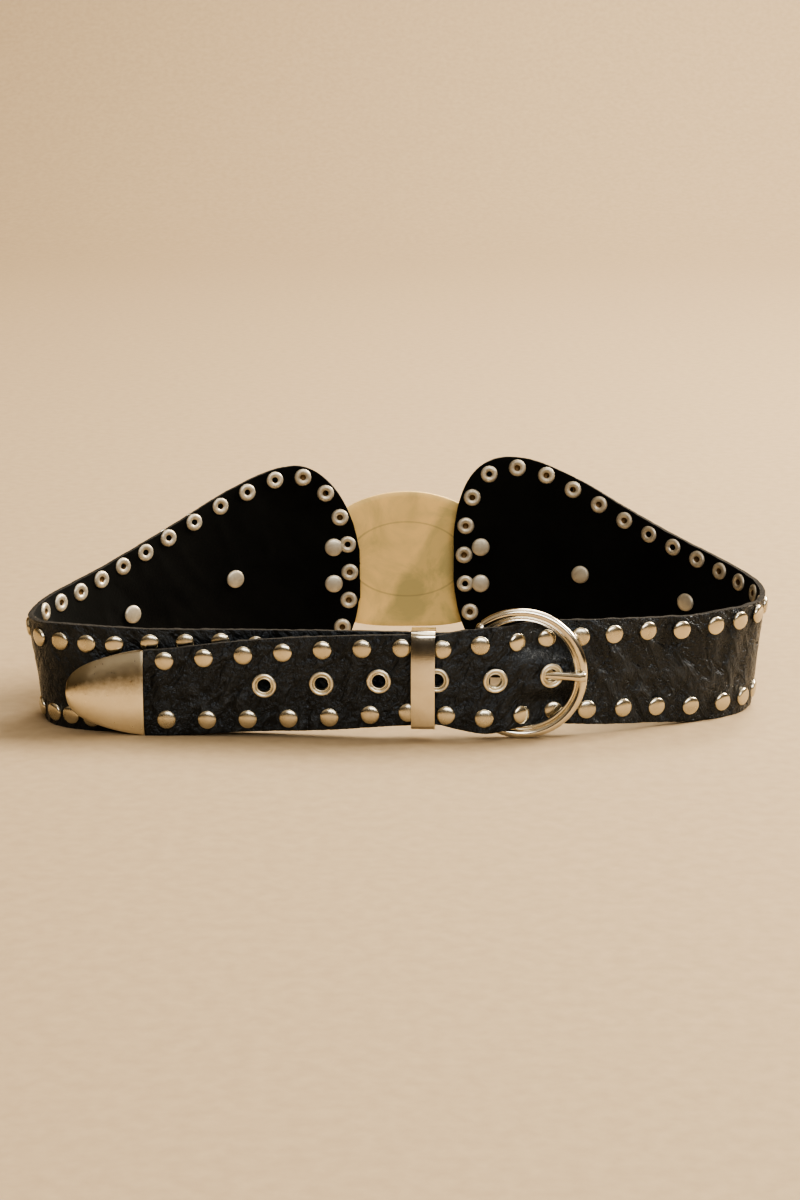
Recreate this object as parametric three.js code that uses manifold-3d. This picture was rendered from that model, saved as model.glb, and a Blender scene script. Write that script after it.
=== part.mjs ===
// Studded hip belt, fastened in a loop and standing on its lower edge.
// Millimetres. +Z is up, +X to the right and +Y away from the buckle, which is at the front.
// A strap is a strip of leather along a path: s runs along it, v across it and n out of the loop.
import * as THREE from "three";
import Module from "manifold-3d";

const { Vector3 } = THREE;
const wasm = await Module();
wasm.setup();
const { Manifold, Mesh: SolidMesh } = wasm;

// Driving sizes

const LEATHER = 2.4; // thickness of both straps
const SKIVED = 1.6; // thickness where the buckle strap is folded round the bar
const GAP = 0.3; // between pieces that touch on the real belt
const FLAP_END = 30; // length of the flaps' rounded ends
const ROUND = { tongue: [2.7, 2.3], buckle: [1.9, 2.6] }; // how full those ends are, above and below
const TOLERANCE = 0.04; // by which a strap's facets may leave its true shape
const BEND_STEP = 13; // degrees that a strap turns from one station to the next

const STUD = { radius: 4.15, height: 1.4, sides: 6 };
const STUD_PITCH = { tongue: 13.8, buckle: 13 }; // round the flaps' ends
// Studs in runs along each edge, as [s, steps from the mark before]. Between the last mark of the upper
// edge and the last of the lower one they go evenly round the flap's end, at the pitch above.
const TONGUE_STUDS = {
  upper: [[42, 0], [159, 7], [191, 2], [234, 3], [282, 3], [356, 6], [443, 7]],
  lower: [[42.5, 0], [129, 5], [208.5, 5], [222.5, 1], [288.5, 4]],
};
const BUCKLE_STUDS = {
  upper: [[47, 0], [181.5, 9], [216, 3], [243.5, 2], [315, 6], [368, 4]],
  lower: [[47, 0], [182.5, 9], [211.5, 3]],
};
// How far in from the edge the studs sit, as [s, inset].
const TONGUE_INSET = {
  upper: [
    [42, 5.1], [80, 6.4], [110, 5.7], [145, 5.5], [175, 6.9], [206, 7.6], [235, 6.5], [250, 5.6],
    [282, 6.2], [306, 5.2], [368, 5.2], [405, 5.9], [430, 5.7], [443, 4.8],
  ],
  lower: [
    [42, 7], [60, 6], [80, 5.4], [145, 5.6], [161, 4.9], [178, 6.8], [193, 5.2], [208, 5.9], [240, 7.1],
    [300, 7.3], [350, 5],
  ],
};
const BUCKLE_INSET = {
  upper: [
    [130, 6.5], [137, 5.2], [153, 5.7], [167, 6.1], [181, 7.6], [196, 8.1], [216, 7], [243, 4.6],
    [258, 5.5], [270, 5.3], [280, 4.7], [303, 4.4], [316, 4.1], [330, 4.4], [355, 5], [368, 4.8],
  ],
  lower: [[180, 5.4], [202, 6.4], [290, 4.6]],
};

const EYELET = { outer: 5.3, hole: 2.75, barrel: 3.3, rim: 0.75, seat: 0.25, first: 84.2, pitch: 24.25, count: 6 };

const TIP = { length: 33, half: 18.6, thick: 4.6, pocketFrom: 11, wall: 1.7, leather: 1.8 };

const KEEPER = { x: 9.7, width: 10, band: 1.1, height: 42.3, corner: 2.4, front: 1.8, behind: 0.6 };

const RING = { z: 27.8, radius: 25.5, tube: 2.4, tilt: -5, lean: -2, barFrom: -17, bar: 1.9 };
const BAR = { x: 34, y: -15.4 }; // the bar's axis, seen from above
const PRONG = { radius: 1.6, reach: 44, rise: 8.1, eyeOuter: 3.4, eyeHalf: 2.4, slotHalf: 3.4 };

const PLATE = { x: 3.2, z: 50, halfWide: 43, halfHigh: 31.7, thick: 1.5, bend: 1500, lean: 3, lift: 2.3 };
const PLATE_FULL = 3.2; // how full the plate's oval is below; 2 would be an ellipse, as it is above
const PLATE_RIVETS = { reach: 34, z: 48, apart: 17 };
const RIVET = { cap: 4.2, shank: 1.7, height: 1.5, stand: 0.6 };
const FLAP_RIVETS = [59.5, 112.5]; // from the flap's end, along its centreline

const BOX_MIDDLE = { x: 0, y: 43.3 }; // of the whole belt, in the paths' own numbers

// Paths. Each row: x, y and z of the strip's centreline, its lean outwards in degrees at the top, and
// half its height.

const TONGUE_PATH = [
  { x: -141, y: -13, z: 18.6, lean: 2, half: 18.6 },
  { x: -105, y: -13.8, z: 18.7, lean: 1, half: 18.7 },
  { x: -66, y: -15.5, z: 22, lean: 0, half: 19.7 },
  { x: -30, y: -18, z: 24, lean: 0, half: 20.2 },
  { x: 4, y: -20.8, z: 26, lean: -1, half: 19.4 },
  { x: 17, y: -21.5, z: 26.2, lean: -1.5, half: 19.3 },
  { x: 22, y: -21.8, z: 26.1, lean: -2, half: 20.4 },
  { x: 41, y: -21.6, z: 26.2, lean: -2, half: 22.5 },
  { x: 45, y: -20.7, z: 26.7, lean: -2, half: 22.1 },
  { x: 51, y: -17.3, z: 27.3, lean: -2, half: 21.9 },
  { x: 57, y: -13.9, z: 27.3, lean: -2, half: 22.1 },
  { x: 62, y: -12.3, z: 27.3, lean: -1, half: 22.3 },
  { x: 78, y: -12, z: 27.3, lean: -1, half: 22.5 },
  { x: 86, y: -10.3, z: 27, lean: 0, half: 22.8 },
  { x: 97, y: -6, z: 26.2, lean: 1, half: 23 },
  { x: 108, y: -1, z: 25.3, lean: 2, half: 23.2 },
  { x: 124, y: 5, z: 24.4, lean: 3.5, half: 23.8 },
  { x: 136, y: 10.5, z: 24.7, lean: 4.5, half: 24.4 },
  { x: 146.5, y: 17.5, z: 24.7, lean: 5.5, half: 24.6 },
  { x: 155, y: 30, z: 25.5, lean: 6, half: 24.3 },
  { x: 156, y: 48, z: 28.2, lean: 5, half: 24.3 },
  { x: 145, y: 68, z: 32.5, lean: 3, half: 25 },
  { x: 124, y: 84, z: 37.7, lean: 2, half: 28.7 },
  { x: 102, y: 96, z: 41.2, lean: 3, half: 35.8 },
  { x: 81.5, y: 102.8, z: 44.6, lean: 3, half: 43.7 },
  { x: 61, y: 105, z: 48.4, lean: 3, half: 48.5 },
  { x: 38.5, y: 105.3, z: 49.3, lean: 3, half: 49.5 },
  { x: 24.8, y: 105, z: 49.3, lean: 3, half: 49.5 },
];

const BUCKLE_PATH = [
  { x: 22, y: -17, z: 26.2, lean: -2, half: 18.9 },
  { x: 15, y: -16.5, z: 26.2, lean: -2, half: 18.9 },
  { x: -10, y: -14.5, z: 25.8, lean: -1, half: 19.6 },
  { x: -66, y: -9.5, z: 23.5, lean: 0, half: 21.5 },
  { x: -111, y: -8, z: 22.7, lean: 2, half: 22.7 },
  { x: -130.5, y: -7, z: 23.3, lean: 3.5, half: 23.4 },
  { x: -142.5, y: -3, z: 23.3, lean: 5, half: 23.4 },
  { x: -151, y: 4, z: 23, lean: 6.5, half: 23 },
  { x: -156, y: 15, z: 23.1, lean: 7.5, half: 22.8 },
  { x: -154, y: 30, z: 25.2, lean: 6.5, half: 22.6 },
  { x: -130, y: 61, z: 31.3, lean: 4, half: 26.1 },
  { x: -102, y: 80.5, z: 38, lean: 3, half: 33.5 },
  { x: -76, y: 93.5, z: 44.1, lean: 3, half: 41.6 },
  { x: -56, y: 100.5, z: 46.8, lean: 3, half: 46.9 },
  { x: -36, y: 104.2, z: 47.4, lean: 3, half: 47.5 },
  { x: -18.5, y: 105, z: 47.4, lean: 3, half: 47.5 },
];

// The buckle strap's fold behind itself, from its free end to the bar.
const FOLD_ROWS = [
  { x: 17, y: -13.1, z: 27.2, lean: 2, half: 16.2 },
  { x: 23, y: -13.3, z: 27.4, lean: 2, half: 16.2 },
];
const WRAP_Z = 27.7;
const WRAP_HALF = 16.2; // half the leather's height round the bar
const WRAP_STEPS = 6;

// How far the tongue bulges forward at mid height, where it passes through the frame.
const BULGE = [
  { x: 43, out: 0 },
  { x: 51, out: 3.1 },
  { x: 57, out: 6 },
  { x: 62.5, out: 6.1 },
  { x: 68, out: 3.9 },
  { x: 74, out: 1.2 },
  { x: 80, out: 0 },
];
const BULGE_FLAT = 5; // half height of the bulge's level top
const BULGE_EDGE = 12.4; // and of its foot

const smooth = (t) => t * t * (3 - 2 * t);
const clamp01 = (t) => Math.min(Math.max(t, 0), 1);

// A curve through the rows, in which every column runs smoothly. Returns at(s) and the length.
function makePath(rows, turn) {
  const keys = ["x", "y", "z", "lean", "half"];
  const span = rows.slice(1).map((row, i) => Math.hypot(row.x - rows[i].x, row.y - rows[i].y));
  const slope = (key, i) => (rows[i + 1][key] - rows[i][key]) / span[i];
  const tangent = (key, i) => {
    if (i === 0) return slope(key, 0);
    if (i === rows.length - 1) return slope(key, i - 1);
    return (slope(key, i - 1) * span[i] + slope(key, i) * span[i - 1]) / (span[i - 1] + span[i]);
  };
  const value = (key, i, u) => {
    const a = (2 * u ** 3 - 3 * u ** 2 + 1) * rows[i][key] + (3 * u ** 2 - 2 * u ** 3) * rows[i + 1][key];
    const b = (u ** 3 - 2 * u ** 2 + u) * tangent(key, i) + (u ** 3 - u ** 2) * tangent(key, i + 1);
    return a + b * span[i];
  };
  const samples = [];
  for (let i = 0; i < span.length; i += 1) {
    const steps = Math.max(2, Math.ceil(span[i]));
    for (let k = i === 0 ? 0 : 1; k <= steps; k += 1) {
      samples.push(Object.fromEntries(keys.map((key) => [key, value(key, i, k / steps)])));
    }
  }
  samples.forEach((sample, i) => {
    const before = samples[i - 1];
    sample.s = i ? before.s + Math.hypot(sample.x - before.x, sample.y - before.y, sample.z - before.z) : 0;
    const next = samples[Math.min(i + 1, samples.length - 1)];
    const last = samples[Math.max(i - 1, 0)];
    const run = Math.hypot(next.x - last.x, next.y - last.y);
    sample.outX = (-turn * (next.y - last.y)) / run;
    sample.outY = (turn * (next.x - last.x)) / run;
  });
  const length = samples[samples.length - 1].s;
  const at = (s) => {
    let i = samples.findIndex((sample) => sample.s >= s);
    i = i < 0 ? samples.length - 1 : Math.max(i, 1);
    const a = samples[i - 1];
    const b = samples[i];
    const t = clamp01((s - a.s) / (b.s - a.s));
    const mix = (key) => a[key] + (b[key] - a[key]) * t;
    const lean = THREE.MathUtils.degToRad(mix("lean"));
    const out = new Vector3(mix("outX"), mix("outY"), 0).normalize();
    const up = out.clone().multiplyScalar(Math.sin(lean)).setZ(Math.cos(lean));
    const face = out.clone().multiplyScalar(Math.cos(lean)).setZ(-Math.sin(lean));
    return { centre: new Vector3(mix("x"), mix("y"), mix("z")), up, face, half: mix("half") };
  };
  const sAtX = (x, from, to) => {
    let best = from;
    for (let s = from; s <= to; s += 0.25) {
      if (Math.abs(at(s).centre.x - x) < Math.abs(at(best).centre.x - x)) best = s;
    }
    return best;
  };
  return { at, length, sAtX };
}

// Half height of the strip at s, above (side 1) or below (side -1), with the flap's end rounded off.
// An inset draws it in.
function outline(path, s, inset = 0, side = 1) {
  const { half } = path.at(s);
  const into = clamp01((s - (path.length - FLAP_END)) / (FLAP_END - inset));
  const full = (path === tongue ? ROUND.tongue : ROUND.buckle)[side > 0 ? 0 : 1];
  return (half - inset) * (1 - into ** full) ** (1 / full);
}

function place(path, s, v, n) {
  const { centre, up, face } = path.at(s);
  return centre.clone().addScaledVector(up, v).addScaledVector(face, n);
}

function solidOf(positions, triangles) {
  const mesh = new SolidMesh({
    numProp: 3,
    vertProperties: new Float32Array(positions.flatMap((p) => [p.x, p.y, p.z])),
    triVerts: new Uint32Array(triangles.flat()),
  });
  return new Manifold(mesh);
}

// A wall from a grid of points on its outer and inner faces, in which rows run along the strip.
function wall(outer, inner) {
  const columns = outer[0].length;
  const count = outer.length * columns;
  const positions = [...outer.flat(), ...inner.flat()];
  const out = (i, j) => i * columns + j;
  const inn = (i, j) => count + i * columns + j;
  const triangles = [];
  const quad = (a, b, c, d) => triangles.push([a, b, c], [a, c, d]);
  for (let i = 0; i + 1 < outer.length; i += 1) {
    for (let j = 0; j + 1 < columns; j += 1) {
      quad(out(i, j), out(i + 1, j), out(i + 1, j + 1), out(i, j + 1));
      quad(inn(i, j), inn(i, j + 1), inn(i + 1, j + 1), inn(i + 1, j));
    }
    quad(out(i, 0), inn(i, 0), inn(i + 1, 0), out(i + 1, 0));
    const top = columns - 1;
    quad(out(i, top), out(i + 1, top), inn(i + 1, top), inn(i, top));
  }
  const end = outer.length - 1;
  for (let j = 0; j + 1 < columns; j += 1) {
    quad(out(0, j), out(0, j + 1), inn(0, j + 1), inn(0, j));
    quad(out(end, j), inn(end, j), inn(end, j + 1), out(end, j + 1));
  }
  const solid = solidOf(positions, triangles);
  if (solid.volume() > 0) return solid;
  return solidOf(positions, triangles.map(([a, b, c]) => [a, c, b]));
}

// A solid turned about +Z from a profile of [radius, z] rows that starts and ends on the axis.
function turned(profile, sides) {
  const points = profile.map(([r, z]) => new THREE.Vector2(r, z));
  return fromGeometry(new THREE.LatheGeometry(points, sides)).rotate([90, 0, 0]);
}

// A three.js geometry as a solid. Points that lie together are joined.
function fromGeometry(geometry) {
  const flat = geometry.index ? geometry.toNonIndexed() : geometry;
  const position = flat.getAttribute("position");
  const found = new Map();
  const positions = [];
  const ids = [];
  for (let i = 0; i < position.count; i += 1) {
    const p = new Vector3().fromBufferAttribute(position, i);
    const key = [p.x, p.y, p.z].map((value) => Math.round(value * 1e4)).join();
    if (!found.has(key)) {
      found.set(key, positions.length);
      positions.push(p);
    }
    ids.push(found.get(key));
  }
  const triangles = [];
  for (let i = 0; i < ids.length; i += 3) {
    const [a, b, c] = ids.slice(i, i + 3);
    if (a !== b && b !== c && c !== a) triangles.push([a, b, c]);
  }
  const solid = solidOf(positions, triangles);
  if (solid.volume() > 0) return solid;
  return solidOf(positions, triangles.map(([a, b, c]) => [a, c, b]));
}

// Puts a solid made about +Z on the strip: its Z along the outward face, its Y up the strip.
function frameAt(path, s, v, n) {
  const { up, face } = path.at(s);
  const along = new Vector3().crossVectors(up, face);
  return new THREE.Matrix4().makeBasis(along, up, face).setPosition(place(path, s, v, n));
}
const moved = (solid, matrix) => solid.transform(matrix.elements);

const domeStud = () =>
  turned([[0, -1.1], [STUD.radius, -1.1], [STUD.radius * 0.8, STUD.height * 0.8], [0, STUD.height]], STUD.sides);

// Places along one edge from a list of runs.
function runPlaces(runs) {
  const list = [runs[0][0]];
  runs.slice(1).forEach(([to, steps]) => {
    const start = list[list.length - 1];
    for (let k = 1; k <= steps; k += 1) list.push(start + ((to - start) * k) / steps);
  });
  return list;
}

function between(rows, s) {
  if (s <= rows[0][0]) return rows[0][1];
  if (s >= rows[rows.length - 1][0]) return rows[rows.length - 1][1];
  const i = rows.findIndex(([mark]) => mark > s);
  const t = (s - rows[i - 1][0]) / (rows[i][0] - rows[i - 1][0]);
  return THREE.MathUtils.lerp(rows[i - 1][1], rows[i][1], t);
}

// Places of the edge studs, as { s, v } pairs: along the upper edge, round the flap and along the lower.
function edgeStuds(path, runs, insets) {
  const upper = runPlaces(runs.upper);
  const lower = runPlaces(runs.lower);
  const onEdge = (s, side) => {
    const inset = between(side > 0 ? insets.upper : insets.lower, s);
    return { s, v: side * outline(path, s, inset, side) };
  };
  const inset = insets.upper[insets.upper.length - 1][1];
  const bend = path.length - FLAP_END;
  const half = (from, side) => {
    const line = [];
    for (let s = from; s < bend; s += 1) line.push(onEdge(s, side));
    for (let a = 0; a <= 90; a += 3) {
      const s = bend + (FLAP_END - inset) * Math.sin(THREE.MathUtils.degToRad(a));
      line.push(onEdge(Math.min(s, path.length - inset), side));
    }
    return line;
  };
  const down = half(lower[lower.length - 1], -1).reverse().slice(1);
  const round = [...half(upper[upper.length - 1], 1), ...down];
  const lengths = [0];
  round.slice(1).forEach((p, i) => lengths.push(lengths[i] + Math.hypot(p.s - round[i].s, p.v - round[i].v)));
  const total = lengths[lengths.length - 1];
  const count = Math.round(total / (path === tongue ? STUD_PITCH.tongue : STUD_PITCH.buckle));
  const evenly = Array.from({ length: count - 1 }, (_, k) => {
    const want = (total * (k + 1)) / count;
    const i = Math.max(1, lengths.findIndex((l) => l >= want - 1e-6));
    const t = (want - lengths[i - 1]) / (lengths[i] - lengths[i - 1]);
    return {
      s: THREE.MathUtils.lerp(round[i - 1].s, round[i].s, t),
      v: THREE.MathUtils.lerp(round[i - 1].v, round[i].v, t),
    };
  });
  return [...upper.map((s) => onEdge(s, 1)), ...evenly, ...lower.map((s) => onEdge(s, -1))];
}

function bulgeAt(x, v) {
  if (x <= BULGE[0].x || x >= BULGE[BULGE.length - 1].x) return 0;
  const i = BULGE.findIndex((row) => row.x > x);
  const t = (x - BULGE[i - 1].x) / (BULGE[i].x - BULGE[i - 1].x);
  const out = THREE.MathUtils.lerp(BULGE[i - 1].out, BULGE[i].out, t);
  const across = 1 - smooth(clamp01((Math.abs(v) - BULGE_FLAT) / (BULGE_EDGE - BULGE_FLAT)));
  return out * across;
}

// Stations along a strap: midway between studs, with more in the bends and round the flap's end.
function stationsOf(path, from, studs) {
  const bend = path.length - FLAP_END;
  const row = studs.filter(({ s, v }) => v > 0 && s < bend).map(({ s }) => s);
  row.sort((a, b) => a - b);
  const middles = row.slice(1).map((s, i) => (s + row[i]) / 2);
  const marks = [from, ...middles.filter((s) => s > from + 5 && s < bend - 5), bend];
  const list = [];
  marks.slice(1).forEach((to, i) => {
    const start = marks[i];
    const angle = THREE.MathUtils.radToDeg(path.at(start).face.angleTo(path.at(to).face));
    const parts = Math.max(1, Math.ceil(angle / BEND_STEP));
    for (let k = 0; k < parts; k += 1) list.push(start + ((to - start) * k) / parts);
  });
  const turns = 6;
  for (let k = 0; k <= turns; k += 1) {
    const turn = THREE.MathUtils.degToRad((85 * k) / turns);
    list.push(bend + FLAP_END * Math.sin(turn));
  }
  return list;
}

// Half the tip's height at a distance from its nose.
const tipHalf = (s) => TIP.half * (1 - (1 - clamp01((s + 0.05) / TIP.length)) ** 1.25) ** 0.36;

// The paths as they are built

const tongue = makePath(TONGUE_PATH, -1);

function wrapRows() {
  const front = BUCKLE_PATH[0];
  const radius = RING_WRAP;
  return Array.from({ length: WRAP_STEPS + 1 }, (_, k) => {
    const angle = THREE.MathUtils.degToRad(90 - (180 * k) / WRAP_STEPS);
    return {
      x: BAR.x + radius * Math.cos(angle),
      y: BAR.y + radius * Math.sin(angle),
      z: WRAP_Z,
      lean: -RING.lean * Math.sin(angle),
      half: WRAP_HALF,
    };
  });
}
const RING_WRAP = RING.bar + GAP + SKIVED / 2;
const TAPER_ROW = { x: 28.5, y: -17.8, z: 26.9, lean: -2, half: 17 };
const buckle = makePath([...FOLD_ROWS, ...wrapRows(), TAPER_ROW, ...BUCKLE_PATH], 1);
const TAPER_S = buckle.sAtX(24, 30, 60);

function tongueStrap() {
  const tipS = TIP.pocketFrom + GAP;
  const studs = edgeStuds(tongue, TONGUE_STUDS, TONGUE_INSET);
  const inBulge = BULGE.map((row) => tongue.sAtX(row.x, 160, 250));
  const plain = stationsOf(tongue, TIP.length + GAP, studs);
  const outside = plain.filter((s) => s < inBulge[0] - 2 || s > inBulge[inBulge.length - 1] + 2);
  const stations = [...outside, ...inBulge].sort((a, b) => a - b);
  const rows = [tipS, 18, 25, TIP.length + GAP - 0.05, ...stations];
  const columns = [-1, -0.56, -0.23, 0.23, 0.56, 1];
  const grid = (side) =>
    rows.map((s) => {
      const inTip = s < TIP.length + GAP - 0.02;
      const narrow = Math.min(tipHalf(s), TIP.half) - TIP.wall - GAP;
      const thick = inTip ? TIP.leather : LEATHER;
      return columns.map((column) => {
        const v = column * (inTip ? narrow : outline(tongue, s, 0, column));
        return place(tongue, s, v, (side * thick) / 2 + bulgeAt(tongue.at(s).centre.x, v));
      });
    });
  let solid = withStuds(wall(grid(1), grid(-1)), tongue, studs);
  for (let k = 0; k < EYELET.count; k += 1) solid = solid.subtract(eyeletSeat(k));
  solid = solid.subtract(rivetHoles());
  return solid.subtract(prongSolid(GAP)).simplify(TOLERANCE);
}

function withStuds(strap, path, studs) {
  const cap = domeStud();
  const caps = studs.map(({ s, v }) => {
    const lift = path === tongue ? bulgeAt(path.at(s).centre.x, v) : 0;
    return moved(cap, frameAt(path, s, v, LEATHER / 2 + lift));
  });
  return Manifold.union([strap, ...caps]).trimByPlane([0, 0, 1], 0);
}

function buckleStrap() {
  const foldSteps = [0, 7];
  const wrapFrom = buckle.sAtX(BAR.x, 10, 19);
  const wrapTo = wrapFrom + Math.PI * RING_WRAP;
  for (let k = 0; k <= WRAP_STEPS; k += 1) foldSteps.push(wrapFrom + ((wrapTo - wrapFrom) * k) / WRAP_STEPS);
  foldSteps.push(wrapTo + 5);
  const studs = edgeStuds(buckle, BUCKLE_STUDS, BUCKLE_INSET);
  const rows = [...foldSteps, ...stationsOf(buckle, TAPER_S, studs)];
  const grid = (side) =>
    rows.map((s) => {
      const thick = s < TAPER_S ? SKIVED : LEATHER;
      return [-1, 1].map((column) => {
        const v = column * outline(buckle, s, 0, column);
        return place(buckle, s, v, (side * thick) / 2);
      });
    });
  const strap = withStuds(wall(grid(1), grid(-1)), buckle, studs);
  const slot = Manifold.cube([14, 14, 2 * PRONG.slotHalf], true)
    .rotate([-RING.lean, 0, 0])
    .translate([BAR.x + 1, BAR.y, EYE_Z]);
  return strap.subtract(slot).subtract(rivetHoles()).simplify(TOLERANCE);
}

// The holes of all rivets, as one body.
function rivetHoles() {
  const radius = RIVET.shank + GAP;
  const hole = Manifold.cylinder(20, radius, radius, 12, true);
  return Manifold.union([...plateRivets(), ...flapRivets()].map((frame) => moved(hole, frame)));
}

// Eyelets: a turned body about +Z with its rims outside the leather's faces.

function eyeletBody() {
  const face = LEATHER / 2;
  const low = face - EYELET.seat + 0.1;
  const high = face + EYELET.rim;
  return turnedRing([
    [EYELET.hole, -face - 0.4],
    [EYELET.outer - 0.5, -face - 0.4],
    [EYELET.outer - 0.5, -face + EYELET.seat - 0.1],
    [EYELET.barrel, -face + EYELET.seat - 0.1],
    [EYELET.barrel, low],
    [EYELET.outer, low],
    [EYELET.outer - 0.8, high],
    [EYELET.hole + 0.5, high],
    [EYELET.hole, face],
  ], 12);
}

function turnedRing(profile, sides) {
  const points = [...profile, profile[0]].map(([r, z]) => new THREE.Vector2(r, z));
  return fromGeometry(new THREE.LatheGeometry(points, sides)).rotate([90, 0, 0]);
}

const eyeletFrame = (k) => {
  const s = EYELET.first + EYELET.pitch * k;
  return frameOn(s, 0);
};

// A frame on the tongue that follows the bulge's slope.
function frameOn(s, v) {
  const point = (d) => place(tongue, s + d, v, bulgeAt(tongue.at(s + d).centre.x, v));
  const { up } = tongue.at(s);
  const along = point(-2).sub(point(2)).normalize();
  const face = new Vector3().crossVectors(along, up).normalize();
  if (face.dot(tongue.at(s).face) < 0) {
    along.negate();
    face.negate();
  }
  return new THREE.Matrix4().makeBasis(along, up, face).setPosition(point(0));
}

function eyeletSeat(k) {
  const hole = Manifold.cylinder(20, EYELET.barrel + GAP, EYELET.barrel + GAP, 12, true);
  const reach = LEATHER / 2 - EYELET.seat - GAP;
  const seat = Manifold.cylinder(8, EYELET.outer + 2 * GAP, EYELET.outer + 2 * GAP, 12).translate([0, 0, reach]);
  const back = seat.rotate([180, 0, 0]);
  return moved(Manifold.union([hole, seat, back]), eyeletFrame(k));
}

function stripTip() {
  const stations = [0, 2, 5, 10, 18, 26, TIP.length];
  const columns = [-1, -0.85, 0, 0.85, 1];
  const dome = (column) => 1 - 0.82 * Math.pow(Math.abs(column), 5);
  const grid = (side) =>
    stations.map((s) =>
      columns.map((column) => {
        const nose = 0.45 + 0.55 * Math.pow(clamp01(s / 9), 0.5);
        return place(tongue, s, tipHalf(s) * column, ((side * TIP.thick) / 2) * dome(column) * nose);
      }),
    );
  const pocketRows = [TIP.pocketFrom, 18, 25, TIP.length + 1];
  const pocket = (side) =>
    pocketRows.map((s) => {
      const half = Math.min(tipHalf(s), TIP.half) - TIP.wall + 0.1;
      const deep = TIP.leather / 2 + GAP + 0.1;
      return [-1, -0.56, -0.23, 0.23, 0.56, 1].map((column) => place(tongue, s, half * column, side * deep));
    });
  return wall(grid(1), grid(-1)).subtract(wall(pocket(1), pocket(-1))).trimByPlane([0, 0, 1], 0);
}

// Buckle

const ringAxis = () => {
  const tilt = THREE.MathUtils.degToRad(RING.tilt);
  const lean = THREE.MathUtils.degToRad(RING.lean);
  const along = new Vector3(Math.cos(tilt), Math.sin(tilt), 0);
  const out = new Vector3(Math.sin(tilt), -Math.cos(tilt), 0);
  const up = out.clone().multiplyScalar(Math.sin(lean)).setZ(Math.cos(lean));
  const face = new Vector3().crossVectors(along, up);
  const centre = new Vector3(BAR.x, BAR.y, RING.z).addScaledVector(along, -RING.barFrom);
  return new THREE.Matrix4().makeBasis(along, up, face).setPosition(centre);
};

function buckleFrame() {
  const ring = fromGeometry(new THREE.TorusGeometry(RING.radius, RING.tube, 8, 34));
  const open = ring.trimByPlane([1, 0, 0], RING.barFrom);
  const reach = Math.sqrt(RING.radius ** 2 - RING.barFrom ** 2);
  const bar = Manifold.cylinder(2 * reach, RING.bar, RING.bar, 12, true)
    .rotate([90, 0, 0])
    .translate([RING.barFrom, 0, 0]);
  const corners = [-1, 1].map((side) => Manifold.sphere(RING.tube, 8).translate([RING.barFrom, side * reach, 0]));
  return moved(Manifold.union([open, bar, ...corners]), ringAxis()).trimByPlane([0, 0, 1], 0);
}

// The prong: an eye on the bar and a bowed finger that rests on the frame's far side.
function prongSolid(grow) {
  const steps = 7;
  const radius = PRONG.radius + grow;
  const rows = Array.from({ length: steps + 1 }, (_, k) => {
    const t = k / steps;
    const x = 2 + (PRONG.reach - 2) * t;
    const rise = PRONG.rise * (x / PRONG.reach) ** 2;
    const r = radius * (k === steps ? 0.6 : 1);
    return Array.from({ length: 8 }, (_unused, j) => {
      const a = (2 * Math.PI * (j + 0.5)) / 8;
      return new Vector3(x, r * Math.cos(a), rise - PRONG_TILT * x + r * Math.sin(a));
    });
  });
  const finger = Manifold.union(
    rows.slice(1).map((row, i) => Manifold.hull([...rows[i], ...row].map((p) => p.toArray()))),
  );
  const eye = Manifold.cylinder(2 * (PRONG.eyeHalf + grow), PRONG.eyeOuter + grow, PRONG.eyeOuter + grow, 14, true)
    .rotate([90, 0, 0]);
  const bore = Manifold.cylinder(40, RING.bar + GAP, RING.bar + GAP, 14, true).rotate([90, 0, 0]);
  const body = Manifold.union([finger, eye]);
  const matrix = ringAxis().multiply(new THREE.Matrix4().makeTranslation(RING.barFrom, -RING.z + EYE_Z, 0));
  return moved(grow ? body : body.subtract(bore), matrix);
}
const PRONG_TILT = 0.09;
const EYE_Z = 27.4;

function keeperLoop() {
  const sTongue = tongue.sAtX(KEEPER.x, 120, 180);
  const sBuckle = buckle.sAtX(KEEPER.x, 50, 100);
  const a = tongue.at(sTongue);
  const b = buckle.at(sBuckle);
  const apart = a.centre.clone().sub(b.centre).dot(a.face);
  const depth = apart + LEATHER + KEEPER.front + KEEPER.behind + 2 * KEEPER.band;
  const centre = a.centre.clone().addScaledVector(a.face, (KEEPER.front - KEEPER.behind - apart) / 2);
  const along = new Vector3().crossVectors(a.up, a.face);
  const shape = roundedRect(depth, KEEPER.height, KEEPER.corner);
  shape.holes.push(
    roundedRect(depth - 2 * KEEPER.band, KEEPER.height - 2 * KEEPER.band, KEEPER.corner - KEEPER.band),
  );
  const geometry = new THREE.ExtrudeGeometry(shape, { depth: KEEPER.width, bevelEnabled: false, curveSegments: 2 });
  const band = fromGeometry(geometry).translate([0, 0, -KEEPER.width / 2]);
  const matrix = new THREE.Matrix4().makeBasis(a.face, a.up, along.negate()).setPosition(centre);
  return moved(band, matrix);
}

function roundedRect(width, height, radius) {
  const shape = new THREE.Shape();
  const x = width / 2 - radius;
  const y = height / 2 - radius;
  shape.absarc(x, y, radius, 0, Math.PI / 2, false);
  shape.absarc(-x, y, radius, Math.PI / 2, Math.PI, false);
  shape.absarc(-x, -y, radius, Math.PI, 1.5 * Math.PI, false);
  shape.absarc(x, -y, radius, 1.5 * Math.PI, 2 * Math.PI, false);
  return shape;
}

// Back plate and rivets

function plateY(x) {
  const flapFace = TONGUE_PATH[TONGUE_PATH.length - 1].y + LEATHER / 2;
  return flapFace + PLATE.lift + PLATE.thick / 2 - x ** 2 / (2 * PLATE.bend);
}

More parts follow.
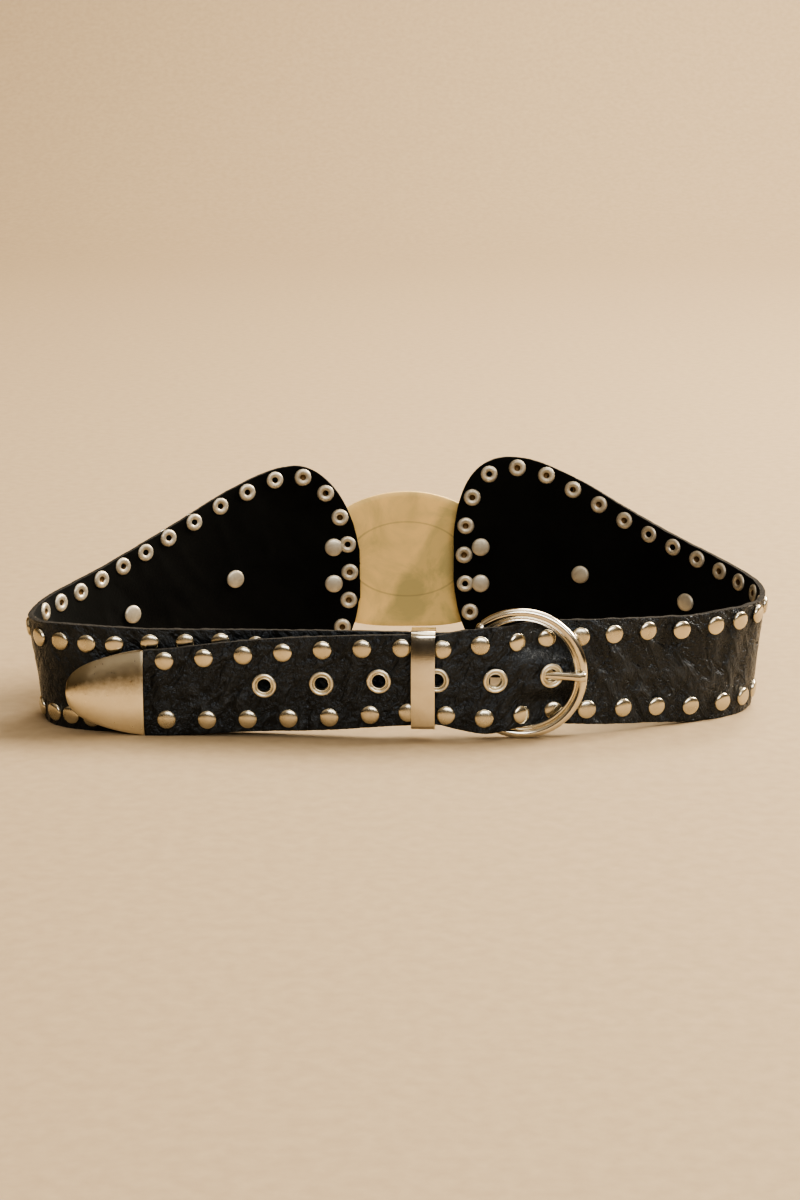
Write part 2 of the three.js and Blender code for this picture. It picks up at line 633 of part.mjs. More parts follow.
function plateFrame() {
  const lean = THREE.MathUtils.degToRad(PLATE.lean);
  const along = new Vector3(-1, 0, 0);
  const up = new Vector3(0, Math.sin(lean), Math.cos(lean));
  const face = new Vector3().crossVectors(along, up);
  return new THREE.Matrix4().makeBasis(along, up, face).setPosition(PLATE.x, plateY(0), PLATE.z);
}

function backPlate() {
  const columns = 12;
  const rings = Array.from({ length: columns + 1 }, (_, k) => Math.sin(((k / columns) * 2 - 1) * (Math.PI / 2) * 0.97));
  const grid = (side) =>
    rings.map((u) => {
      const x = PLATE.halfWide * u;
      return [-1, 1].map((v) => {
        const full = v < 0 ? PLATE_FULL : 2;
        const half = PLATE.halfHigh * (1 - Math.abs(u) ** full) ** (1 / full);
        return new Vector3(x, half * v, (side * PLATE.thick) / 2 - x ** 2 / (2 * PLATE.bend));
      });
    });
  return moved(wall(grid(1), grid(-1)), plateFrame()).subtract(rivetHoles());
}

// Frames of the four rivets through plate and flaps.
function plateRivets() {
  const frames = [];
  for (const side of [-1, 1]) {
    for (const level of [-1, 1]) {
      const path = side < 0 ? buckle : tongue;
      const s = path.sAtX(PLATE.x + side * PLATE_RIVETS.reach, path.length - 40, path.length);
      const { centre, up } = path.at(s);
      const v = (PLATE_RIVETS.z + (level * PLATE_RIVETS.apart) / 2 - centre.z) / up.z;
      frames.push(frameAt(path, s, v, 0));
    }
  }
  return frames;
}

function flapRivets() {
  return [buckle, tongue].flatMap((path) => FLAP_RIVETS.map((d) => frameAt(path, path.length - d, 0, 0)));
}

// A shank with a dome on the inside of the leather and a dome or plate washer on the outside.
function rivet(outFace) {
  const inside = -LEATHER / 2 - RIVET.stand;
  const steps = [
    [0, inside - RIVET.height],
    [RIVET.cap * 0.8, inside - RIVET.height * 0.8],
    [RIVET.cap, inside],
    [RIVET.shank, inside],
    [RIVET.shank, outFace],
    [RIVET.cap, outFace],
    [RIVET.cap * 0.8, outFace + RIVET.height * 0.8],
    [0, outFace + RIVET.height],
  ];
  return turned(steps, 8);
}

// Materials

const material = (name, color, roughness, metalness) =>
  new THREE.MeshStandardMaterial({ name, color, roughness, metalness });
const LEATHER_BLACK = material("black_leather", 0x1b1b1c, 0.5, 0);
const NICKEL = material("nickel", 0xb9b2a6, 0.3, 1);
const BRASS = material("aged_brass", 0xb9a77f, 0.45, 1);

// A solid as a mesh in its own frame, so that the mesh is placed by position and rotation.
function toMesh(name, solid, mat, matrix = new THREE.Matrix4()) {
  const local = solid.transform(matrix.clone().invert().elements).getMesh();
  const geometry = new THREE.BufferGeometry();
  const points = Array.from(local.vertProperties);
  geometry.setAttribute("position", new THREE.Float32BufferAttribute(points, 3));
  geometry.setIndex(Array.from(local.triVerts));
  const flat = geometry.toNonIndexed();
  flat.computeVertexNormals();
  const mesh = new THREE.Mesh(flat, mat);
  mesh.name = name;
  mesh.position.setFromMatrixPosition(matrix);
  mesh.quaternion.setFromRotationMatrix(matrix);
  return mesh;
}

const belt = new THREE.Group();
belt.name = "studded_hip_belt";

const shells = new THREE.Group();
shells.add(toMesh("tongue_strap", tongueStrap(), LEATHER_BLACK));
shells.add(toMesh("buckle_strap", buckleStrap(), LEATHER_BLACK));
belt.add(shells);

const fastening = new THREE.Group();
fastening.add(toMesh("strap_tip", stripTip(), NICKEL, frameAt(tongue, TIP.length / 2, 0, 0)));
fastening.add(toMesh("buckle_frame", buckleFrame(), NICKEL, ringAxis()));
fastening.add(toMesh("buckle_prong", prongSolid(0), NICKEL, ringAxis()));
fastening.add(toMesh("keeper_loop", keeperLoop(), NICKEL));
for (let k = 0; k < EYELET.count; k += 1) {
  let body = moved(eyeletBody(), eyeletFrame(k));
  if (k === EYELET.count - 1) body = body.subtract(prongSolid(0.2));
  fastening.add(toMesh(`eyelet_${k + 1}`, body, NICKEL, eyeletFrame(k)));
}
belt.add(fastening);

const back = new THREE.Group();
back.add(toMesh("back_plate", backPlate(), BRASS, plateFrame()));
plateRivets().forEach((frame, k) => {
  const outFace = LEATHER / 2 + PLATE.lift + PLATE.thick + GAP;
  back.add(toMesh(`plate_rivet_${k + 1}`, moved(rivet(outFace), frame), NICKEL, frame));
});
flapRivets().forEach((frame, k) => {
  back.add(toMesh(`flap_rivet_${k + 1}`, moved(rivet(LEATHER / 2 + RIVET.stand), frame), NICKEL, frame));
});
belt.add(back);

// The origin is under the middle of the belt's box, on the surface it stands on.
belt.position.set(-BOX_MIDDLE.x, -BOX_MIDDLE.y, 0);

export default belt;
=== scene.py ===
"""Looks of a studded hip belt, fastened in a loop and standing on its lower edge.

Each strap is a strip of leather along a path: s runs along it, v across it and n out of the loop.
Lengths in the tables are millimetres. Everything is turned into metres where it is laid down.
"""

import math

import bpy
import numpy as np
from mathutils import Matrix, Vector, noise


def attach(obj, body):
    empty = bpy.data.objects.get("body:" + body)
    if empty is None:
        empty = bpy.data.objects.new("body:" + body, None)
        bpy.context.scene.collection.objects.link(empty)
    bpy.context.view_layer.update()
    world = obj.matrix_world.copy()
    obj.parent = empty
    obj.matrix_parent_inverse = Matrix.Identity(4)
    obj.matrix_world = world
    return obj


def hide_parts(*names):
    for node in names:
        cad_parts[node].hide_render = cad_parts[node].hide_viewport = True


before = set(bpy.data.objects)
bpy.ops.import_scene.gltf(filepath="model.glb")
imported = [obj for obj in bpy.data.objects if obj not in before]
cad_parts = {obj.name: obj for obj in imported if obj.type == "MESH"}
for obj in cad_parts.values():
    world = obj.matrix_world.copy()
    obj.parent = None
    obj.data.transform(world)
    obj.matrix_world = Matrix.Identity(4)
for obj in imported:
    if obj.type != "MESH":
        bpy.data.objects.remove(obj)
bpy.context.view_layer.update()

MM = 0.001
BOX_MIDDLE = np.array([0.0, 43.3, 0.0])  # of the whole belt, in the paths' own numbers

LEATHER = 2.4
SKIVED = 1.6
GAP = 0.3
FLAP_END = 30.0
ROW_STEP = 1.25  # along the leather, between rows of faces
COLUMNS = 38

# How full the flap's rounded end is above and below, and how far apart the studs are round it.
TONGUE_END = (2.7, 2.3, 13.8)
BUCKLE_END = (1.9, 2.6, 13.0)

STUD_RADIUS = 4.15
STUD_HEIGHT = 1.5
# Studs in runs along the upper and the lower edge, as (s, steps from the mark before).
TONGUE_STUDS = ([(42, 0), (159, 7), (191, 2), (234, 3), (282, 3), (356, 6), (443, 7)],
                [(42.5, 0), (129, 5), (208.5, 5), (222.5, 1), (288.5, 4)])
BUCKLE_STUDS = ([(47, 0), (181.5, 9), (216, 3), (243.5, 2), (315, 6), (368, 4)],
                [(47, 0), (182.5, 9), (211.5, 3)])
# How far in from the edge the studs sit, as (s, inset).
TONGUE_INSET = ([(42, 5.1), (80, 6.4), (110, 5.7), (145, 5.5), (175, 6.9), (206, 7.6), (235, 6.5),
                 (250, 5.6), (282, 6.2), (306, 5.2), (368, 5.2), (405, 5.9), (430, 5.7), (443, 4.8)],
                [(42, 7), (60, 6), (80, 5.4), (145, 5.6), (161, 4.9), (178, 6.8), (193, 5.2), (208, 5.9),
                 (240, 7.1), (300, 7.3), (350, 5)])
BUCKLE_INSET = ([(130, 6.5), (137, 5.2), (153, 5.7), (167, 6.1), (181, 7.6), (196, 8.1), (216, 7),
                 (243, 4.6), (258, 5.5), (270, 5.3), (280, 4.7), (303, 4.4), (316, 4.1), (330, 4.4),
                 (355, 5), (368, 4.8)],
                [(180, 5.4), (202, 6.4), (290, 4.6)])

EYELET_FIRST = 84.2
EYELET_PITCH = 24.25
EYELET_COUNT = 6
EYELET_OUTER = 5.3
EYELET_HOLE = 2.75
EYELET_CUT = 3.9  # the hole in the leather

TIP_LENGTH = 33.0
TIP_HALF = 18.6
TIP_THICK = 4.6
TIP_WALL = 1.7

RING_CENTRE_Z = 27.8
RING_RADIUS = 25.5
RING_TUBE = 2.4
RING_TILT = -5.0
RING_LEAN = -2.0
BAR_FROM = -17.0
BAR_RADIUS = 1.9
BAR_X = 34.0
BAR_Y = -15.4
PRONG_REACH = 44.0
PRONG_RISE = 8.1
PRONG_TILT = 0.09
PRONG_RADIUS = 1.65
PRONG_SWELL = 0.25  # by which its end is thicker
EYE_Z = 27.4

KEEPER_X = 9.7
KEEPER_WIDTH = 10.0
KEEPER_HEIGHT = 42.3
KEEPER_BAND = 1.1
KEEPER_BOW = 2.2  # by which its front bows outwards

PLATE_X = 3.2
PLATE_Z = 50.0
PLATE_WIDE = 43.0
PLATE_HIGH = 31.7
PLATE_THICK = 1.5
PLATE_BEND = 1500.0
PLATE_LEAN = 3.0
PLATE_LIFT = 2.3
PLATE_FULL = 3.2  # how full its oval is below; 2 would be an ellipse, as it is above
LINE_WIDE = 27.0  # half width of the line engraved on the plate
LINE_HIGH = 17.5
PLATE_RIVET_REACH = 34.0
PLATE_RIVET_Z = 48.0
PLATE_RIVET_APART = 17.0
FLAP_RIVETS = (59.5, 112.5)
RIVET_CAP = 4.2
RIVET_STAND = 0.6

# Each row: x, y and z of the strip's centreline, its lean outwards at the top, half its height.
TONGUE_ROWS = [
    (-141, -13, 18.6, 2, 18.6),
    (-105, -13.8, 18.7, 1, 18.7),
    (-66, -15.5, 22, 0, 19.7),
    (-30, -18, 24, 0, 20.2),
    (4, -20.8, 26, -1, 19.4),
    (17, -21.5, 26.2, -1.5, 19.3),
    (22, -21.8, 26.1, -2, 20.4),
    (41, -21.6, 26.2, -2, 22.5),
    (45, -20.7, 26.7, -2, 22.1),
    (51, -17.3, 27.3, -2, 21.9),
    (57, -13.9, 27.3, -2, 22.1),
    (62, -12.3, 27.3, -1, 22.3),
    (78, -12, 27.3, -1, 22.5),
    (86, -10.3, 27, 0, 22.8),
    (97, -6, 26.2, 1, 23),
    (108, -1, 25.3, 2, 23.2),
    (124, 5, 24.4, 3.5, 23.8),
    (136, 10.5, 24.7, 4.5, 24.4),
    (146.5, 17.5, 24.7, 5.5, 24.6),
    (155, 30, 25.5, 6, 24.3),
    (156, 48, 28.2, 5, 24.3),
    (145, 68, 32.5, 3, 25),
    (124, 84, 37.7, 2, 28.7),
    (102, 96, 41.2, 3, 35.8),
    (81.5, 102.8, 44.6, 3, 43.7),
    (61, 105, 48.4, 3, 48.5),
    (38.5, 105.3, 49.3, 3, 49.5),
    (24.8, 105, 49.3, 3, 49.5),
]
BUCKLE_ROWS = [
    (22, -17, 26.2, -2, 18.9),
    (15, -16.5, 26.2, -2, 18.9),
    (-10, -14.5, 25.8, -1, 19.6),
    (-66, -9.5, 23.5, 0, 21.5),
    (-111, -8, 22.7, 2, 22.7),
    (-130.5, -7, 23.3, 3.5, 23.4),
    (-142.5, -3, 23.3, 5, 23.4),
    (-151, 4, 23, 6.5, 23),
    (-156, 15, 23.1, 7.5, 22.8),
    (-154, 30, 25.2, 6.5, 22.6),
    (-130, 61, 31.3, 4, 26.1),
    (-102, 80.5, 38, 3, 33.5),
    (-76, 93.5, 44.1, 3, 41.6),
    (-56, 100.5, 46.8, 3, 46.9),
    (-36, 104.2, 47.4, 3, 47.5),
    (-18.5, 105, 47.4, 3, 47.5),
]
FOLD_ROWS = [(17, -13.1, 27.2, 2, 16.2), (23, -13.3, 27.4, 2, 16.2)]
TAPER_ROW = (28.5, -17.8, 26.9, -2, 17)
WRAP_Z = 27.7
WRAP_HALF = 16.2
WRAP_STEPS = 6

# How far the tongue bulges forward at mid height where it passes through the frame: x and depth.
BULGE = [(43, 0), (51, 3.1), (57, 6), (62.5, 6.1), (68, 3.9), (74, 1.2), (80, 0)]
BULGE_FLAT = 5.0
BULGE_EDGE = 12.4

# Soft folds across the tongue by the buckle: x, width, depth and slant in mm a mm of height.
FOLDS = [(21.5, 2.4, -0.45, 0.05), (27, 2.8, -0.6, 0.04), (38.5, 2.4, -0.7, -0.1), (48, 2.6, -0.5, 0.1),
         (88, 2.6, -0.6, -0.7), (95, 2.4, 0.4, -0.75), (101, 2.2, -0.6, -0.6), (112, 2.6, -0.6, 0.1),
         (118, 2.2, -0.5, -0.15), (137, 2.6, -0.6, 0.2), (147, 2.4, -0.5, 0.15)]

FLAP_REACH = 0.06  # within which a point belongs to the flap's end, in metres

# The floor in metres: flat up to its depth, then curved up into a backdrop.
FLOOR_SIZE = 30
FLOOR_ROWS = 240
FLOOR_DEPTH = 2.0
FLOOR_CURVE = 1.0

# The camera: target and distance in metres, rise in degrees and lens in millimetres.
CAMERA_TARGET = (0, -0.0433, 0.0555)
CAMERA_AWAY = 1.1
CAMERA_RISE = 13
CAMERA_LENS = 77.88

# How the studio's colour rises from the floor's level upwards, as (height, colour).
SKY = [(0.02, (0.05, 0.04, 0.03)), (0.16, (0.12, 0.095, 0.07)), (0.5, (0.80, 0.66, 0.49))]
SKY_STRENGTH = 0.48
# Each lamp: name, place, target and size in metres, power in watts and colour.
LAMPS = [
    ("key", (1.65, 0.45, 1.35), (0, 0, 0.03), (0.9, 0.9), 72, (1.0, 0.91, 0.79)),
    ("top", (0.3, 0.15, 2.1), (0, 0, 0), (1.8, 1.8), 16, (1.0, 0.94, 0.84)),
    ("front", (0.45, -2.05, 1.3), (0, 0, 0.05), (2.0, 1.05), 25, (0.98, 0.97, 0.97)),
    ("back", (0.9, 2.0, 2.2), (0.4, 2.4, 0.2), (2.0, 1.0), 65, (1.0, 0.93, 0.82)),
]

# Size and turn of the space in which fine brushing runs on the metals.
BRUSHED = ((1, 7, 2.2), (0.4, 0.3, 0.9))


# Paths and places


def smooth_path(rows, turn, end):
    """A curve through the rows in which every column runs smoothly, as arrays over s."""
    rows = np.array(rows, float)
    span = np.hypot(*np.diff(rows[:, :2], axis=0).T)
    slope = np.diff(rows, axis=0) / span[:, None]
    tangent = np.empty_like(rows)
    tangent[0], tangent[-1] = slope[0], slope[-1]
    weight = span[1:, None] + span[:-1, None]
    tangent[1:-1] = (slope[:-1] * span[1:, None] + slope[1:] * span[:-1, None]) / weight
    points = [rows[0]]
    for i, length in enumerate(span):
        steps = max(2, math.ceil(length))
        for k in range(1, steps + 1):
            u = k / steps
            ends = (2 * u**3 - 3 * u**2 + 1) * rows[i] + (3 * u**2 - 2 * u**3) * rows[i + 1]
            pull = (u**3 - 2 * u**2 + u) * tangent[i] + (u**3 - u**2) * tangent[i + 1]
            points.append(ends + pull * length)
    points = np.array(points)
    s = np.concatenate([[0], np.cumsum(np.linalg.norm(np.diff(points[:, :3], axis=0), axis=1))])
    along = np.empty((len(points), 2))
    along[1:-1] = points[2:, :2] - points[:-2, :2]
    along[0], along[-1] = points[1, :2] - points[0, :2], points[-1, :2] - points[-2, :2]
    along /= np.linalg.norm(along, axis=1)[:, None]
    out = turn * np.column_stack([-along[:, 1], along[:, 0]])
    return {"s": s, "points": points, "out": out, "length": s[-1], "end": end}


def stations(path, s):
    """Centre, up, face and half height of the strip at each s, in the paths' own millimetres."""
    s = np.atleast_1d(np.asarray(s, float))
    mixed = np.column_stack([np.interp(s, path["s"], column) for column in path["points"].T])
    out = np.column_stack([np.interp(s, path["s"], column) for column in path["out"].T])
    out /= np.linalg.norm(out, axis=1)[:, None]
    lean = np.radians(mixed[:, 3])
    up = np.column_stack([out * np.sin(lean)[:, None], np.cos(lean)])
    face = np.column_stack([out * np.cos(lean)[:, None], -np.sin(lean)])
    return mixed[:, :3], up, face, mixed[:, 4]


def lay(path, s, v, n):
    """Points of the strip in the row frame, in metres."""
    centre, up, face, _ = stations(path, s)
    points = centre + up * np.reshape(v, (-1, 1)) + face * np.reshape(n, (-1, 1))
    return (points - BOX_MIDDLE) * MM


def s_at_x(path, x, low, high):
    s = np.arange(low, high, 0.25)
    return float(s[np.argmin(np.abs(stations(path, s)[0][:, 0] - x))])


def half_height(path, s, inset=0.0, side=1):
    """Half height of the strip above (side 1) or below (side -1), with the flap's end rounded off."""
    half = stations(path, s)[3]
    into = np.clip((np.asarray(s) - (path["length"] - FLAP_END)) / (FLAP_END - inset), 0, 1)
    full = path["end"][0 if side > 0 else 1]
    return (half - inset) * (1 - into**full) ** (1 / full)


def bulge(path, s, v):
    """How far the tongue stands forward of its path."""
    if path is not TONGUE:
        return np.zeros_like(np.asarray(s, float))
    x = np.where(np.asarray(s) < 300, stations(path, s)[0][:, 0], -500)
    out = np.interp(x, [row[0] for row in BULGE], [row[1] for row in BULGE], left=0, right=0)
    t = np.clip((np.abs(v) - BULGE_FLAT) / (BULGE_EDGE - BULGE_FLAT), 0, 1)
    return out * (1 - t * t * (3 - 2 * t))


def matrix_at(path, s, v, n):
    """A matrix that puts a piece made about +Z, in metres, on the strip and out of its face."""
    step = np.array([s - 1.5, s, s + 1.5])
    mid = lay(path, step, [v] * 3, bulge(path, step, [v] * 3))
    _, up, face, _ = stations(path, s)
    across = Vector(up[0])
    along = Vector(mid[2] - mid[0]).normalized()
    out = along.cross(across).normalized()
    if out.dot(Vector(face[0])) < 0:
        out.negate()
    along = across.cross(out)
    place = Vector(mid[1]) + out * (n * MM)
    return placed(along, across, out, place)


def placed(along, across, out, place):
    matrix = Matrix((along, across, out)).transposed().to_4x4()
    matrix.translation = place
    return matrix


def wrap_rows():
    radius = BAR_RADIUS + GAP + SKIVED / 2
    rows = []
    for k in range(WRAP_STEPS + 1):
        angle = math.radians(90 - 180 * k / WRAP_STEPS)
        lean = -RING_LEAN * math.sin(angle)
        x, y = BAR_X + radius * math.cos(angle), BAR_Y + radius * math.sin(angle)
        rows.append((x, y, WRAP_Z, lean, WRAP_HALF))
    return rows


TONGUE = smooth_path(TONGUE_ROWS, -1, TONGUE_END)
BUCKLE = smooth_path(FOLD_ROWS + wrap_rows() + [TAPER_ROW] + BUCKLE_ROWS, 1, BUCKLE_END)


def run_places(runs):
    """Places along one edge, from runs of (mark, steps from the mark before)."""
    places = [runs[0][0]]
    for mark, steps in runs[1:]:
        places += list(np.linspace(places[-1], mark, steps + 1)[1:])
    return np.array(places)


def stud_places(path, runs, insets):
    """Places of the studs along the upper edge, evenly round the flap's end and along the lower edge."""
    def edge(s, side):
        rows = insets[0 if side > 0 else 1]
        inset = np.interp(s, [row[0] for row in rows], [row[1] for row in rows])
        return side * half_height(path, s, inset, side)

    above, below = run_places(runs[0]), run_places(runs[1])
    bend = path["length"] - FLAP_END
    nose = bend + (FLAP_END - insets[0][-1][1]) * np.sin(np.radians(np.arange(0, 91, 3)))
    up = np.concatenate([np.arange(above[-1], bend, 1.0), nose])
    down = np.concatenate([np.arange(below[-1], bend, 1.0), nose])[-2::-1]
    s, v = np.concatenate([up, down]), np.concatenate([edge(up, 1), edge(down, -1)])
    run = np.concatenate([[0], np.cumsum(np.hypot(np.diff(s), np.diff(v)))])
    want = np.linspace(0, run[-1], round(run[-1] / path["end"][2]) + 1)[1:-1]
    places = list(zip(above, edge(above, 1))) + list(zip(np.interp(want, run, s), np.interp(want, run, v)))
    return places + list(zip(below, edge(below, -1)))


def eyelet_places():
    return [(EYELET_FIRST + EYELET_PITCH * k, 0.0) for k in range(EYELET_COUNT)]


def plate_rivet_places():
    places = []
    for side, path in ((-1, BUCKLE), (1, TONGUE)):
        for level in (-1, 1):
            s = s_at_x(path, PLATE_X + side * PLATE_RIVET_REACH, path["length"] - 40, path["length"])
            centre, up, _, _ = stations(path, s)
            v = (PLATE_RIVET_Z + level * PLATE_RIVET_APART / 2 - centre[0, 2]) / up[0, 2]
            places.append((path, s, float(v)))
    return places


def flap_rivet_places():
    return [(path, path["length"] - back, 0.0) for path in (BUCKLE, TONGUE) for back in FLAP_RIVETS]


# Blender helpers


def deselect():
    if bpy.context.object and bpy.context.object.mode != "OBJECT":
        bpy.ops.object.mode_set(mode="OBJECT")
    bpy.ops.object.select_all(action="DESELECT")


def only(piece):
    deselect()
    piece.select_set(True)
    bpy.context.view_layer.objects.active = piece
    return piece


def modify(piece, kind, **settings):
    only(piece)
    modifier = piece.modifiers.new(kind.title(), kind)
    for key, value in settings.items():
        setattr(modifier, key, value)
    bpy.ops.object.modifier_apply(modifier=modifier.name)
    return piece


def named(piece, name):
    piece.name = name
    piece.data.name = name
    return piece


def finish_piece(piece, name, materials, slot, *nodes, angle=35):
    """Names a piece, gives it its materials and ties it to the frame."""
    only(piece)
    bpy.ops.object.transform_apply(location=True, rotation=True, scale=True)
    bpy.ops.object.shade_smooth_by_angle(angle=math.radians(angle))
    named(piece, name)
    if len(materials) == 1:
        piece.data.materials.clear()
        piece.data.materials.append(materials[0])
    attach(piece, "root")
    if nodes:
        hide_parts(*nodes)
    return piece


def copies(piece, matrices, name):
    """One copy of a piece for each matrix, each with its own mesh, joined into one."""
    made = []
    for matrix in matrices:
        copy = piece.copy()
        copy.data = piece.data.copy()
        copy.data.transform(matrix)
        bpy.context.collection.objects.link(copy)
        made.append(copy)
    bpy.data.objects.remove(piece)
    deselect()
    for copy in made:
        copy.select_set(True)
    bpy.context.view_layer.objects.active = made[0]
    bpy.ops.object.join()
    return named(made[0], name)


def edit(piece, kind="FACE"):
    only(piece)
    bpy.ops.object.mode_set(mode="EDIT")
    bpy.ops.mesh.select_mode(type=kind)
    bpy.ops.mesh.select_all(action="DESELECT")


def select_faces(piece, test):
    """Selects the faces whose centre and normal pass the test, then stays in edit mode."""
    bpy.ops.object.mode_set(mode="OBJECT")
    for face in piece.data.polygons:
        face.select = bool(test(face.center, face.normal))
    bpy.ops.object.mode_set(mode="EDIT")


def close_ends(piece, test):
    """Merges a rolled-up sheet along its seam and fills each open end that passes the test."""
    edit(piece, "VERT")
    bpy.ops.mesh.select_all(action="SELECT")
    bpy.ops.mesh.remove_doubles(threshold=0.00001)
    bpy.ops.mesh.select_all(action="DESELECT")
    bpy.ops.mesh.select_non_manifold()
    bpy.ops.object.mode_set(mode="OBJECT")
    for point in piece.data.vertices:
        point.select = point.select and bool(test(point.co))
    bpy.ops.object.mode_set(mode="EDIT")
    bpy.ops.mesh.fill()
    bpy.ops.mesh.select_all(action="SELECT")
    bpy.ops.mesh.normals_make_consistent(inside=False)
    bpy.ops.object.mode_set(mode="OBJECT")


def turned(profile, sides, closed=False):
    """A piece turned about +Z from [radius, z] rows in millimetres."""
    deselect()
    mesh = bpy.data.meshes.new("turning")
    edges = [(i, i + 1) for i in range(len(profile) - 1)]
    if closed:
        edges.append((len(profile) - 1, 0))
    mesh.from_pydata([(r * MM, 0, z * MM) for r, z in profile], edges, [])
    piece = bpy.data.objects.new("turning", mesh)
    bpy.context.collection.objects.link(piece)
    edit(piece, "VERT")
    bpy.ops.mesh.select_all(action="SELECT")
    bpy.ops.mesh.spin(steps=sides, angle=2 * math.pi, center=(0, 0, 0), axis=(0, 0, 1))
    bpy.ops.mesh.select_all(action="SELECT")
    bpy.ops.mesh.remove_doubles(threshold=0.00002)
    bpy.ops.mesh.normals_make_consistent(inside=False)
    bpy.ops.object.mode_set(mode="OBJECT")
    return piece


# Materials


def new_material(name):
    material = bpy.data.materials.new(name)
    material.use_nodes = True
    nodes = material.node_tree.nodes
    return material, nodes, material.node_tree.links, nodes["Principled BSDF"]


class Kit:
    """Short calls for the nodes of one material."""

    def __init__(self, name):
        self.material, self.nodes, self.links, self.shader = new_material(name)
        self.place = self.nodes.new("ShaderNodeTexCoord")

    def link(self, source, target):
        self.links.new(source, target)

    def mapping(self, scale, turn=(0, 0, 0), source="Object", shift=(0, 0, 0)):
        node = self.nodes.new("ShaderNodeMapping")
        node.inputs["Location"].default_value = shift
        node.inputs["Scale"].default_value = scale
        node.inputs["Rotation"].default_value = turn
        self.link(self.place.outputs[source], node.inputs["Vector"])
        return node.outputs["Vector"]

    def slanted(self, degrees, scale):
        """The UV map turned by an angle, then stretched."""
        node = self.nodes.new("ShaderNodeMapping")
        node.inputs["Scale"].default_value = scale
        self.link(self.mapping((1, 1, 1), (0, 0, math.radians(degrees)), "UV"), node.inputs["Vector"])
        return node.outputs["Vector"]

    def noise(self, vector, scale, detail=3.0, rough=0.5, distort=0.0):
        node = self.nodes.new("ShaderNodeTexNoise")
        node.inputs["Scale"].default_value = scale
        node.inputs["Detail"].default_value = detail
        node.inputs["Roughness"].default_value = rough
        node.inputs["Distortion"].default_value = distort
        self.link(vector, node.inputs["Vector"])
        return node.outputs["Fac"]

    def cells(self, vector, scale):
        node = self.nodes.new("ShaderNodeTexVoronoi")
        node.feature = "DISTANCE_TO_EDGE"
        node.inputs["Scale"].default_value = scale
        self.link(vector, node.inputs["Vector"])
        return node.outputs["Distance"]

    def reach(self, vector):
        """How far a vector reaches from its origin."""
        node = self.nodes.new("ShaderNodeVectorMath")
        node.operation = "LENGTH"
        self.link(vector, node.inputs[0])
        return node.outputs["Value"]

    def part(self, vector, axis):
        node = self.nodes.new("ShaderNodeSeparateXYZ")
        self.link(vector, node.inputs["Vector"])
        return node.outputs[axis]

    def ramp(self, value, stops):
        node = self.nodes.new("ShaderNodeValToRGB")
        elements = node.color_ramp.elements
        while len(elements) < len(stops):
            elements.new(0.5)
        for element, (place, colour) in zip(elements, stops):
            element.position = place
            element.color = (*colour, 1) if isinstance(colour, tuple) else (colour, colour, colour, 1)
        self.link(value, node.inputs["Fac"])
        return node.outputs["Color"]

    def scaled(self, value, low, high, from_low=0.0, from_high=1.0):
        node = self.nodes.new("ShaderNodeMapRange")
        node.inputs["From Min"].default_value = from_low
        node.inputs["From Max"].default_value = from_high
        node.inputs["To Min"].default_value = low
        node.inputs["To Max"].default_value = high
        self.link(value, node.inputs["Value"])
        return node.outputs["Result"]

    def math(self, kind, a, b):
        node = self.nodes.new("ShaderNodeMath")
        node.operation = kind
        for k, value in enumerate((a, b)):
            if isinstance(value, (int, float)):
                node.inputs[k].default_value = value
            else:
                self.link(value, node.inputs[k])
        return node.outputs["Value"]

    def mix(self, factor, a, b):
        node = self.nodes.new("ShaderNodeMix")
        node.data_type = "RGBA"
        self.link(factor, node.inputs["Factor"])
        for key, value in (("A", a), ("B", b)):
            socket = [i for i in node.inputs if i.name == key and i.type == "RGBA"][0]
            if isinstance(value, tuple):
                socket.default_value = (*value, 1)
            else:
                self.link(value, socket)
        return [o for o in node.outputs if o.type == "RGBA"][0]

    def bump(self, height, strength, distance, under=None):
        node = self.nodes.new("ShaderNodeBump")
        node.inputs["Strength"].default_value = strength
        node.inputs["Distance"].default_value = distance
        self.link(height, node.inputs["Height"])
        if under is not None:
            self.link(under, node.inputs["Normal"])
        return node.outputs["Normal"]

    def set(self, **values):
        for key, value in values.items():
            socket = self.shader.inputs[key.replace("_", " ")]
            if isinstance(value, tuple):
                socket.default_value = (*value, 1)
            elif isinstance(value, (int, float)):
                socket.default_value = value
            else:
                self.link(value, socket)
        return self.material


